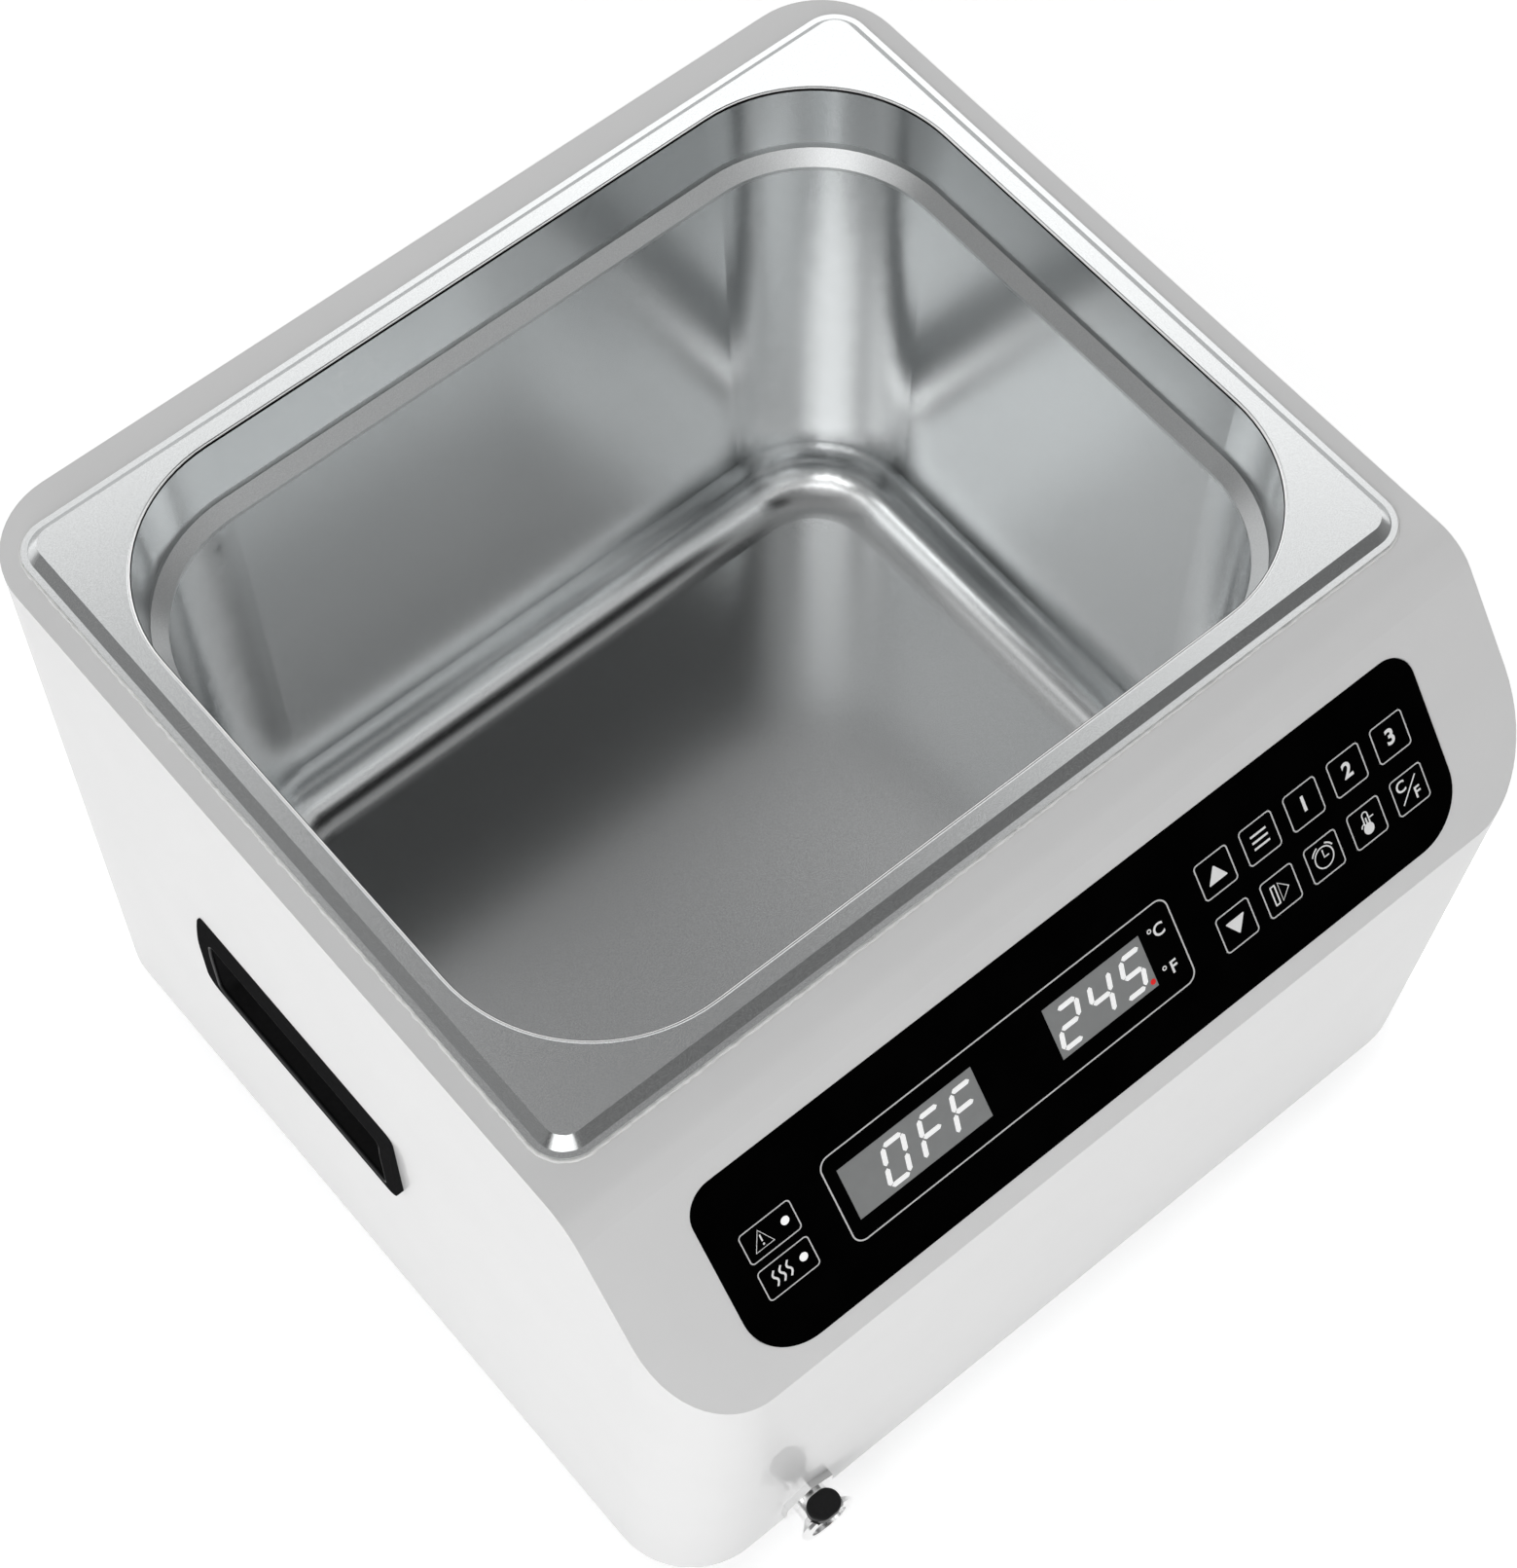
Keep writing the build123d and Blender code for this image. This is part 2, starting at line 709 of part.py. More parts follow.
elbow_route = [
    (drain_x, drain_y, tank_floor),
    (drain_x, drain_y, tank_floor - elbow_fall),
    (drain_x, drain_y - elbow_reach, tank_floor - elbow_fall),
]
with BuildPart() as drain_elbow:
    add(wire_run(elbow_route, barb_radius, elbow_bend))
    with BuildSketch(Plane.XY.offset(tank_floor)):
        with Locations((drain_x, drain_y)):
            Circle(drain_thread_radius)
    extrude(amount=-drain_thread_length)
    with BuildSketch(Plane.XY.offset(tank_floor)):
        with Locations((drain_x, drain_y)):
            Circle(drain_flange_radius)
    extrude(amount=drain_flange_thickness)
    fillet(drain_elbow.faces().sort_by(Axis.Z)[-1].edges(), drain_flange_thickness / 2)
    add(wire_run(elbow_route, barb_bore, elbow_bend), mode=Mode.SUBTRACT)
    with BuildSketch(Plane.XY.offset(tank_floor)):
        with Locations((drain_x, drain_y)):
            Circle(barb_bore)
    extrude(amount=drain_flange_thickness, mode=Mode.SUBTRACT)
drain_elbow.part.label = "drain_elbow"
export_step(drain_elbow.part, "parts/drain_elbow.step")

with BuildPart() as drain_seal:
    with BuildSketch(Plane.XY.offset(tank_base)):
        with Locations((drain_x, drain_y)):
            Circle(drain_flange_radius)
            Circle(drain_thread_radius + snug, mode=Mode.SUBTRACT)
    extrude(amount=-drain_seal_thickness)
drain_seal.part.label = "drain_seal"
export_step(drain_seal.part, "parts/drain_seal.step")

with BuildPart() as drain_nut:
    with BuildSketch(Plane.XY.offset(tank_base - drain_seal_thickness)):
        with Locations((drain_x, drain_y)):
            RegularPolygon(drain_nut_radius, 6)
            Circle(drain_thread_radius + snug, mode=Mode.SUBTRACT)
    extrude(amount=-drain_nut_thickness)
drain_nut.part.label = "drain_nut"
export_step(drain_nut.part, "parts/drain_nut.step")

elbow_end = Vector(drain_x, drain_y - elbow_reach, tank_floor - elbow_fall)
elbow_out = Vector(0, -1, 0)
cock_tail_end = cock_origin - front_out * (cock_thread_length + cock_tail)
hose_start = elbow_end - elbow_out * hose_overlap
hose_stop = cock_tail_end + front_out * hose_overlap


def hose_form(radius):
    # The hose's route filled to a radius: over the elbow's end, down, and over the cock's tail
    with BuildPart() as form:
        with BuildLine() as route:
            Line(hose_start, elbow_end)
            Spline(elbow_end, cock_tail_end, tangents=(elbow_out, front_out))
            Line(cock_tail_end, hose_stop)
        with BuildSketch(Plane(origin=hose_start, z_dir=elbow_out)):
            Circle(radius)
        sweep()
    return form.part


hose_bore = barb_radius + snug
hose_radius = hose_bore + hose_wall
with BuildPart() as drain_hose:
    add(hose_form(hose_radius))
    add(hose_form(hose_bore), mode=Mode.SUBTRACT)
drain_hose.part.label = "drain_hose"
export_step(drain_hose.part, "parts/drain_hose.step")

with BuildPart() as hose_clamps:
    for end, out in [(hose_start, elbow_out), (hose_stop, front_out * -1)]:
        seat = Plane(origin=end + out * clamp_set_back, x_dir=(1, 0, 0), z_dir=out)
        with BuildSketch(seat) as band:
            Circle(hose_radius + snug + clamp_wall)
            with Locations((hose_radius + snug + clamp_ear_height / 2, 0)):
                Rectangle(clamp_ear_height, clamp_ear_width)
            Circle(hose_radius + snug, mode=Mode.SUBTRACT)
        extrude(amount=clamp_width)
hose_clamps.part.label = "hose_clamps"
export_step(hose_clamps.part, "parts/hose_clamps.step")

# Drain cock: a plug cock held in the front wall between two nuts
cock_cone_start = 7.5
cock_disc_back = 10.8
cock_disc_edge = 0.5
cock_mouth_radius = 7.0
cock_mouth_depth = 1.0
cock_flat_height = 6.7
cock_flat_gap = 0.4
plug_radius = 2.2
plug_fit = 0.06
plug_drop = 5.0
plug_bore = 1.2
plug_key_width = 2.6
plug_key_height = 2.6
knob_edge = 0.8
knob_seat_gap = 0.3
lock_nut_radius = 11.0
lock_nut_thickness = 4.0
cock_seal_thickness = 1.0
cock_seal_radius = 11.5

stem_plane = Plane(
    origin=cock_origin + front_out * knob_offset,
    x_dir=(1, 0, 0),
    z_dir=Vector(0, -sin(radians(front_lean)), cos(radians(front_lean))),
)
with BuildPart() as valve_body:
    with BuildSketch(Plane(origin=cock_origin, x_dir=(1, 0, 0), z_dir=(stem_plane.z_dir * -1))) as profile:
        with BuildLine():
            Polyline(
                (0, -cock_thread_length - cock_tail),
                (barb_radius, -cock_thread_length - cock_tail),
                (barb_radius, -cock_thread_length),
                (cock_thread_radius, -cock_thread_length),
                (cock_thread_radius, cock_nut_thickness),
                (cock_neck_radius, cock_nut_thickness),
                (cock_neck_radius, cock_cone_start),
                (cock_disc_radius, cock_disc_back),
                (cock_disc_radius, cock_reach - cock_disc_edge),
                (cock_disc_radius - cock_disc_edge, cock_reach),
                (cock_mouth_radius, cock_reach),
                (cock_mouth_radius, cock_reach - cock_mouth_depth),
                (0, cock_reach - cock_mouth_depth),
                close=True,
            )
        make_face()
    revolve(axis=Axis(cock_origin, front_out))
    # The flat that the knob turns on, cut through the top of the cone and disc
    with BuildSketch(stem_plane.offset(cock_flat_height)):
        Circle(knob_length / 2 + cock_flat_gap)
    extrude(amount=cock_disc_radius, mode=Mode.SUBTRACT)
    # The seat of the plug, the bore behind it and the outlet before it
    with BuildSketch(stem_plane.offset(-plug_drop)):
        Circle(plug_radius + plug_fit)
    extrude(amount=plug_drop + cock_disc_radius, mode=Mode.SUBTRACT)
    with BuildSketch(Plane(origin=cock_tail_end, x_dir=(1, 0, 0), z_dir=front_out)):
        Circle(cock_bore_radius)
    extrude(amount=cock_tail + cock_thread_length + cock_nut_thickness, mode=Mode.SUBTRACT)
    with BuildSketch(cock_plane):
        Circle(plug_bore)
    extrude(amount=cock_reach, mode=Mode.SUBTRACT)
valve_body.part.label = "valve_body"
export_step(valve_body.part, "parts/valve_body.step")

with BuildPart() as valve_wall_nut:
    with BuildSketch(cock_plane):
        RegularPolygon(cock_nut_radius, 6, rotation=90)
        Circle(cock_thread_radius + snug, mode=Mode.SUBTRACT)
    extrude(amount=cock_nut_thickness)
valve_wall_nut.part.label = "valve_wall_nut"
export_step(valve_wall_nut.part, "parts/valve_wall_nut.step")

with BuildPart() as valve_seal:
    with BuildSketch(cock_plane.offset(-wall)):
        Circle(cock_seal_radius)
        Circle(cock_thread_radius + snug, mode=Mode.SUBTRACT)
    extrude(amount=-cock_seal_thickness)
valve_seal.part.label = "valve_seal"
export_step(valve_seal.part, "parts/valve_seal.step")

with BuildPart() as valve_lock_nut:
    with BuildSketch(cock_plane.offset(-wall - cock_seal_thickness)):
        RegularPolygon(lock_nut_radius, 6)
        Circle(cock_thread_radius + snug, mode=Mode.SUBTRACT)
    extrude(amount=-lock_nut_thickness)
valve_lock_nut.part.label = "valve_lock_nut"
export_step(valve_lock_nut.part, "parts/valve_lock_nut.step")

# The plug turns with the knob; its bore lies across the flow, so the cock is shut
with BuildPart() as valve_plug:
    with BuildSketch(stem_plane.offset(-plug_drop + knob_seat_gap)):
        Circle(plug_radius)
    extrude(amount=plug_drop - knob_seat_gap + cock_flat_height + knob_seat_gap)
    with BuildSketch(stem_plane.offset(cock_flat_height + knob_seat_gap)):
        Rectangle(plug_key_width, plug_key_width)
    extrude(amount=plug_key_height)
    with BuildSketch(Plane(origin=stem_plane.origin, x_dir=(0, 1, 0), z_dir=(1, 0, 0))):
        Circle(plug_bore)
    extrude(amount=2 * plug_radius, both=True, mode=Mode.SUBTRACT)
valve_plug.part.label = "valve_plug"
export_step(valve_plug.part, "parts/valve_plug.step")

with BuildPart() as valve_knob:
    with BuildSketch(stem_plane.offset(cock_flat_height + knob_seat_gap)):
        SlotOverall(knob_length, knob_width)
    extrude(amount=knob_height)
    fillet(valve_knob.faces().sort_by(Axis(stem_plane.origin, stem_plane.z_dir))[-1].edges(), knob_edge)
    with BuildSketch(stem_plane.offset(cock_flat_height + knob_seat_gap)):
        Rectangle(plug_key_width, plug_key_width)
    extrude(amount=plug_key_height, mode=Mode.SUBTRACT)
valve_knob.part.label = "valve_knob"
export_step(valve_knob.part, "parts/valve_knob.step")


# Hand grips: a cup that snaps into the side, under a bezel that swells from its upper edge
grip_top_radius = 4.0
grip_bottom_radius = 6.0
grip_cup_length = 90.0
grip_cup_top = 9.6
grip_cup_bottom = 2.2
grip_cup_radius = 3.0
grip_cup_wall = 1.5
grip_lip_edge = 1.0
clip_length = 12.0
clip_reach = 1.2
clip_depth = 4.0
clip_spacing = 60.0

roll_radius = (grip_roll**2 + grip_proud**2) / (2 * grip_proud)
cup_height = grip_height - grip_cup_top - grip_cup_bottom
cup_z = grip_top - grip_cup_top - cup_height / 2
with BuildPart() as handle_right:
    with BuildSketch(Plane.XZ.offset(-pan_y)):
        with BuildLine():
            RadiusArc((side_x, grip_top), (side_x + grip_proud, grip_top - grip_roll), roll_radius)
            Polyline(
                (side_x + grip_proud, grip_top - grip_roll),
                (side_x + grip_proud, grip_bottom),
                (side_x, grip_bottom),
                (side_x, grip_top),
            )
        make_face()
    extrude(amount=grip_length / 2, both=True)
    with BuildSketch(Plane.YZ.offset(side_x)) as outline:
        with Locations((pan_y, (grip_top + grip_bottom) / 2)):
            Rectangle(grip_length, grip_height)
        fillet(outline.vertices().group_by(Axis.Y)[-1], grip_top_radius)
        fillet(outline.vertices().group_by(Axis.Y)[0], grip_bottom_radius)
    extrude(amount=grip_proud, mode=Mode.INTERSECT)
    with BuildSketch(Plane.YZ.offset(side_x)):
        with Locations((pan_y, grip_hole_z)):
            Rectangle(grip_hole_length - 2 * fitting_gap, grip_hole_height - 2 * fitting_gap)
    extrude(amount=-grip_depth - grip_cup_wall)
    # Snap clips behind the casing's wall, above and below
    with BuildSketch(Plane.XY.offset(grip_hole_z)):
        with Locations([
            (side_x - wall - clearance - clip_depth / 2, pan_y + sy * clip_spacing / 2) for sy in (-1, 1)
        ]):
            Rectangle(clip_depth, clip_length)
    extrude(amount=grip_hole_height / 2 + clip_reach, both=True)
    with BuildSketch(Plane.YZ.offset(side_x - grip_depth)):
        with Locations((pan_y, cup_z)):
            RectangleRounded(grip_cup_length, cup_height, grip_cup_radius)
    extrude(amount=grip_depth + grip_proud + overrun, mode=Mode.SUBTRACT)
handle_right.part.label = "handle_right"
export_step(handle_right.part, "parts/handle_right.step")

with BuildPart() as handle_left:
    add(handle_right.part)
    mirror(about=Plane.YZ, mode=Mode.REPLACE)
handle_left.part.label = "handle_left"
export_step(handle_left.part, "parts/handle_left.step")


# Panel film: a black sheet in the shallow seat, open over each window, lamp and key
with BuildPart() as control_overlay:
    with BuildSketch(panel_plane.offset(-film_recess)) as film:
        Rectangle(panel_width, panel_height)
        fillet(film.vertices().group_by(Axis.Y)[-1], panel_top_radius)
        fillet(film.vertices().group_by(Axis.Y)[0], panel_bottom_radius)
        for x, width in window_places:
            with Locations((x, window_y)):
                Rectangle(width, window_height, mode=Mode.SUBTRACT)
        with Locations(lamp_places):
            Circle(lamp_radius + snug, mode=Mode.SUBTRACT)
        with Locations(key_places):
            RectangleRounded(
                key_size + 2 * key_gap, key_size + 2 * key_gap, key_radius + key_gap, mode=Mode.SUBTRACT
            )
    extrude(amount=film_thickness)
control_overlay.part.label = "control_overlay"
export_step(control_overlay.part, "parts/control_overlay.step")

# Two tinted windows let into the film, resting on the casing round the cut-outs
window_gap = 0.1
window_sunk = 0.1
with BuildPart() as display_windows:
    with BuildSketch(panel_plane.offset(-film_recess)):
        for x, width in window_places:
            with Locations((x, window_y)):
                Rectangle(width - 2 * window_gap, window_height - 2 * window_gap)
    extrude(amount=film_thickness - window_sunk)
display_windows.part.label = "display_windows"
export_step(display_windows.part, "parts/display_windows.step")

# Ten square keys, each a cap on a round stem that reaches through the slope to its switch
key_rest_gap = 0.1
stem_reach = 1.5
key_names = [
    "key_up", "key_menu", "key_one", "key_two", "key_three",
    "key_down", "key_start", "key_timer", "key_temperature", "key_units",
]
cap_thickness = film_thickness - key_travel - key_rest_gap
for name, place in zip(key_names, key_places):
    with BuildPart() as key:
        with BuildSketch(panel_plane.offset(panel_top)):
            with Locations(place):
                RectangleRounded(key_size, key_size, key_radius)
        extrude(amount=-cap_thickness)
        with BuildSketch(panel_plane.offset(panel_top)):
            with Locations(place):
                Circle(stem_radius)
        extrude(amount=-panel_top - wall - stem_reach)
    key.part.label = name
    export_step(key.part, f"parts/{name}.step")

# Control board behind the slope, on its four posts
board_drop = wall + board_standoff
board_margin = 4.0
connector_length = 30.0
connector_width = 6.0
connector_height = 7.0
connector_x = -20.0
connector_y_share = -0.36
board_screw_radius = 1.2
board_screw_reach = 5.0
board_head_radius = 2.6
board_head_height = 1.6
connector_y = panel_height * connector_y_share
with BuildPart() as control_board:
    with BuildSketch(panel_plane.offset(-board_drop)):
        Rectangle(panel_width - 2 * board_margin + 2 * board_boss_radius, panel_height)
        with Locations(board_boss_places):
            Circle(board_screw_radius + snug, mode=Mode.SUBTRACT)
    extrude(amount=-board_thickness)
    with BuildSketch(panel_plane.offset(-board_drop - board_thickness)):
        with Locations((connector_x, connector_y)):
            Rectangle(connector_length, connector_width)
    extrude(amount=-connector_height)
control_board.part.label = "control_board"
export_step(control_board.part, "parts/control_board.step")

with BuildPart() as board_screws:
    with BuildSketch(panel_plane.offset(-board_drop - board_thickness)):
        with Locations(board_boss_places):
            Circle(board_screw_radius)
    extrude(amount=board_thickness + board_screw_reach)
    with BuildSketch(panel_plane.offset(-board_drop - board_thickness)):
        with Locations(board_boss_places):
            Circle(board_head_radius)
    extrude(amount=-board_head_height)
board_screws.part.label = "board_screws"
export_step(board_screws.part, "parts/board_screws.step")

# Push switches on the board, one under each key's stem
switch_body_size = 6.0
switch_body_height = 3.4
switch_button_radius = 1.75
switch_button_gap = 0.05
button_top = wall + stem_reach + key_travel + switch_button_gap
with BuildPart() as key_switches:
    with BuildSketch(panel_plane.offset(-board_drop)):
        with Locations(key_places):
            Rectangle(switch_body_size, switch_body_size)
    extrude(amount=switch_body_height)
    with BuildSketch(panel_plane.offset(-board_drop)):
        with Locations(key_places):
            Circle(switch_button_radius)
    extrude(amount=board_drop - button_top)
key_switches.part.label = "key_switches"
export_step(key_switches.part, "parts/key_switches.step")

# Two lamps on the board, whose domes end in the film
with BuildPart() as indicator_leds:
    with BuildSketch(panel_plane.offset(-board_drop)):
        with Locations(lamp_places):
            Circle(lamp_radius)
    extrude(amount=board_drop + panel_top)
indicator_leds.part.label = "indicator_leds"
export_step(indicator_leds.part, "parts/indicator_leds.step")

# Number displays on the board, one behind each window
display_height = board_standoff - clearance
for name, (x, width) in zip(["display_left", "display_right"], window_places):
    with BuildPart() as display:
        with BuildSketch(panel_plane.offset(-board_drop)):
            with Locations((x, window_y)):
                Rectangle(width, window_height)
        extrude(amount=display_height)
    display.part.label = name
    export_step(display.part, f"parts/{name}.step")


# Power board on the base plate's posts, with its relay, transformer and terminals
power_screw_radius = 1.2
power_screw_reach = 5.0
relay_from_edge = 84.0
relay_width = 28.0
relay_depth = 13.0
relay_height = 16.0
transformer_from_edge = 28.0
transformer_width = 42.0
transformer_depth = 36.0
transformer_height = 32.0
coil_overhang = 5.0
coil_height = 22.0
block_from_edge = 32.0
block_width = 50.0
block_depth = 14.0
block_height = 14.0
block_ways = 5
block_way_radius = 2.2
block_way_depth = 6.0
fitting_inset = 4.0

relay_x = power_board_x + power_board_width / 2 - relay_from_edge
block_x = power_board_x + power_board_width / 2 - block_from_edge
transformer_x = power_board_x - power_board_width / 2 + transformer_from_edge
board_low = plate_top + post_height
board_top = board_low + board_thickness
block_y = power_board_y + power_board_depth / 2 - block_depth / 2 - fitting_inset
with BuildPart() as power_board:
    with BuildSketch(Plane.XY.offset(board_low)):
        with Locations((power_board_x, power_board_y)):
            Rectangle(power_board_width, power_board_depth)
        with Locations(post_places):
            Circle(power_screw_radius + snug, mode=Mode.SUBTRACT)
    extrude(amount=board_thickness)
power_board.part.label = "power_board"
export_step(power_board.part, "parts/power_board.step")

with BuildPart() as power_board_screws:
    with BuildSketch(Plane.XY.offset(board_top)):
        with Locations(post_places):
            Circle(power_screw_radius)
    extrude(amount=-board_thickness - power_screw_reach)
    with BuildSketch(Plane.XY.offset(board_top)):
        with Locations(post_places):
            Circle(board_head_radius)
    extrude(amount=board_head_height)
power_board_screws.part.label = "power_board_screws"
export_step(power_board_screws.part, "parts/power_board_screws.step")

with BuildPart() as power_relay:
    with BuildSketch(Plane.XY.offset(board_top)):
        with Locations((relay_x, power_board_y)):
            Rectangle(relay_width, relay_depth)
    extrude(amount=relay_height)
power_relay.part.label = "power_relay"
export_step(power_relay.part, "parts/power_relay.step")

with BuildPart() as power_transformer:
    with BuildSketch(Plane.XY.offset(board_top)):
        with Locations((transformer_x, power_board_y)):
            Rectangle(transformer_width, transformer_depth - 2 * coil_overhang)
    extrude(amount=transformer_height)
    with BuildSketch(Plane.XY.offset(board_top)):
        with Locations((transformer_x, power_board_y)):
            Rectangle(transformer_width - 2 * coil_overhang, transformer_depth)
    extrude(amount=coil_height)
power_transformer.part.label = "power_transformer"
export_step(power_transformer.part, "parts/power_transformer.step")

way_pitch = block_width / block_ways
way_places = [
    (block_x + (way - (block_ways - 1) / 2) * way_pitch, block_y) for way in range(block_ways)
]
with BuildPart() as terminal_block:
    with BuildSketch(Plane.XY.offset(board_top)):
        with Locations((block_x, block_y)):
            Rectangle(block_width, block_depth)
    extrude(amount=block_height)
    with BuildSketch(Plane.XY.offset(board_top + block_height)):
        with Locations(way_places):
            Circle(block_way_radius)
    extrude(amount=-block_way_depth, mode=Mode.SUBTRACT)
terminal_block.part.label = "terminal_block"
export_step(terminal_block.part, "parts/terminal_block.step")


# Mains inlet: a flanged socket with three blades over a slot for the fuse drawer
inlet_flange_width = 50.0
inlet_flange_height = 37.0
inlet_flange_radius = 4.0
inlet_body_depth = 28.0
socket_width = 24.4
socket_height = 16.7
socket_depth = 16.0
socket_y = 5.6
socket_chamfer = 4.0
blade_width = 2.0
blade_depth = 4.0
blade_spacing = 7.0
blade_raise = 2.0
blade_recess = 2.0
tab_length = 8.0
tab_width = 6.0
tab_thickness = 0.8
drawer_width = 22.0
drawer_height = 7.0
drawer_depth = 22.0
drawer_y = -10.2
drawer_travel = 14.0
drawer_groove = 1.2
inlet_head_radius = 2.8
inlet_head_height = 1.6
inlet_screw_length = 10.0
inlet_nut_radius = 3.1
inlet_nut_thickness = 2.4

blade_places = [
    (-blade_spacing, socket_y - blade_raise),
    (0, socket_y + blade_raise),
    (blade_spacing, socket_y - blade_raise),
]
inlet_screw_places = [(-inlet_screw_x, 0), (inlet_screw_x, 0)]
with BuildPart() as power_inlet:
    with BuildSketch(inlet_plane):
        RectangleRounded(inlet_flange_width, inlet_flange_height, inlet_flange_radius)
        with Locations(inlet_screw_places):
            Circle(inlet_screw_radius + screw_gap, mode=Mode.SUBTRACT)
    extrude(amount=inlet_flange)
    with BuildSketch(inlet_plane):
        Rectangle(inlet_width, inlet_height)
    extrude(amount=-inlet_body_depth)
    with BuildSketch(inlet_plane.offset(inlet_flange)) as socket:
        with Locations((0, socket_y)):
            Rectangle(socket_width, socket_height)
        chamfer(socket.vertices().group_by(Axis.Y)[-1], socket_chamfer)
    extrude(amount=-socket_depth, mode=Mode.SUBTRACT)
    with BuildSketch(inlet_plane.offset(inlet_flange)):
        with Locations((0, drawer_y)):
            Rectangle(drawer_width + 2 * clearance, drawer_height + 2 * clearance)
    extrude(amount=-drawer_depth - clearance, mode=Mode.SUBTRACT)
    with BuildSketch(inlet_plane.offset(inlet_flange - blade_recess)):
        with Locations(blade_places):
            Rectangle(blade_width, blade_depth)
    extrude(amount=-socket_depth)
    with BuildSketch(inlet_plane.offset(-inlet_body_depth)):
        with Locations(blade_places):
            Rectangle(tab_thickness, tab_width)
    extrude(amount=-tab_length)
power_inlet.part.label = "power_inlet"
export_step(power_inlet.part, "parts/power_inlet.step")

with BuildPart() as inlet_screws:
    with BuildSketch(inlet_plane.offset(inlet_flange)):
        with Locations(inlet_screw_places):
            Circle(inlet_screw_radius)
    extrude(amount=-inlet_screw_length)
    with BuildSketch(inlet_plane.offset(inlet_flange)):
        with Locations(inlet_screw_places):
            Circle(inlet_head_radius)
    extrude(amount=drawer_lip)
    with BuildSketch(inlet_plane.offset(-wall)):
        with Locations(inlet_screw_places):
            RegularPolygon(inlet_nut_radius, 6)
    extrude(amount=-inlet_nut_thickness)
inlet_screws.part.label = "inlet_screws"
export_step(inlet_screws.part, "parts/inlet_screws.step")

with BuildPart() as fuse_drawer:
    with BuildSketch(inlet_plane.offset(inlet_flange + drawer_lip)):
        with Locations((0, drawer_y)):
            Rectangle(drawer_width, drawer_height)
    extrude(amount=-drawer_depth - drawer_lip)
    # The finger groove across the drawer's face
    with BuildSketch(inlet_plane.offset(inlet_flange + drawer_lip)):
        with Locations((0, drawer_y)):
            Rectangle(drawer_width, drawer_groove)
    extrude(amount=-drawer_lip / 2, mode=Mode.SUBTRACT)
    # The cradle for the fuse, open upwards behind the drawer's front
    with BuildSketch(inlet_plane.offset(-wall)):
        with Locations((0, drawer_y + drawer_height / 4)):
            Rectangle(drawer_width - 2 * drawer_height / 2, drawer_height / 2)
    extrude(amount=-drawer_depth / 2, mode=Mode.SUBTRACT)
fuse_drawer.part.label = "fuse_drawer"
export_step(fuse_drawer.part, "parts/fuse_drawer.step")


# Power switch: a snap-in frame and the rocker that tilts in it
bezel_width = 16.0
bezel_height = 22.4
bezel_thickness = 1.6
bezel_radius = 1.5
frame_wall = 1.0
frame_depth = 17.0
cavity_depth = 6.4
rocker_length = 14.8
rocker_pivot_depth = 1.5
rocker_rise = 3.6
rocker_valley = 2.6
rocker_shoulder = 0.6
rocker_root = 3.2
rocker_root_length = 5.0
rocker_angle = 8.0
rocker_sweep_gap = 0.8
pivot_radius = 1.2
pivot_fit = 0.06
pivot_length = 0.8
tab_spacing = 5.0

rocker_width = switch_width - 2 * frame_wall - 2 * clearance
rocker_pivot = Vector(switch_x, rear_y - rocker_pivot_depth, fitting_z)
with BuildPart() as power_switch:
    with BuildSketch(switch_plane):
        RectangleRounded(bezel_width, bezel_height, bezel_radius)
    extrude(amount=bezel_thickness)
    with BuildSketch(switch_plane):
        Rectangle(switch_width, switch_height)
    extrude(amount=-frame_depth)
    with BuildSketch(switch_plane.offset(bezel_thickness)):
        Rectangle(switch_width - 2 * frame_wall, rocker_length + 2 * rocker_sweep_gap)
    extrude(amount=-bezel_thickness - cavity_depth, mode=Mode.SUBTRACT)
    with BuildSketch(Plane(origin=rocker_pivot, x_dir=(0, 1, 0), z_dir=(1, 0, 0))):
        Circle(pivot_radius + pivot_fit)
    extrude(amount=rocker_width / 2 + clearance + pivot_length - clearance / 2, both=True, mode=Mode.SUBTRACT)
    with BuildSketch(switch_plane.offset(-frame_depth)):
        with Locations([(0, sy * tab_spacing) for sy in (-1, 1)]):
            Rectangle(tab_width, tab_thickness)
    extrude(amount=-tab_length)
power_switch.part.label = "power_switch"
export_step(power_switch.part, "parts/power_switch.step")

rocker_up = Vector(0, -sin(radians(rocker_angle)), cos(radians(rocker_angle)))
rocker_side = Plane(origin=rocker_pivot, x_dir=rocker_up, z_dir=(-1, 0, 0))
with BuildPart() as switch_rocker:
    with BuildSketch(rocker_side):
        with BuildLine():
            Polyline(
                (-rocker_length / 2, rocker_rise),
                (0, rocker_valley),
                (rocker_length / 2, rocker_rise),
                (rocker_length / 2, rocker_shoulder),
                (rocker_root_length / 2, -rocker_root),
                (-rocker_root_length / 2, -rocker_root),
                (-rocker_length / 2, rocker_shoulder),
                close=True,
            )
        make_face()
    extrude(amount=rocker_width / 2, both=True)
    with BuildSketch(rocker_side):
        Circle(pivot_radius)
    extrude(amount=rocker_width / 2 + pivot_length, both=True)
switch_rocker.part.label = "switch_rocker"
export_step(switch_rocker.part, "parts/switch_rocker.step")


# Wiring inside the casing, each lead from one terminal to the next
lead_radius = 1.2
lead_bend = 5.0
lead_seat_share = 0.6
cross_back = 11.0
switched_from_rear = 69.0
climb_from_block = 36.0
climb_height = 6.0
probe_lead_radius = 0.9
probe_lead_turn = 6.0
ribbon_width = 20.0
ribbon_thickness = 1.2
ribbon_bend = 3.0

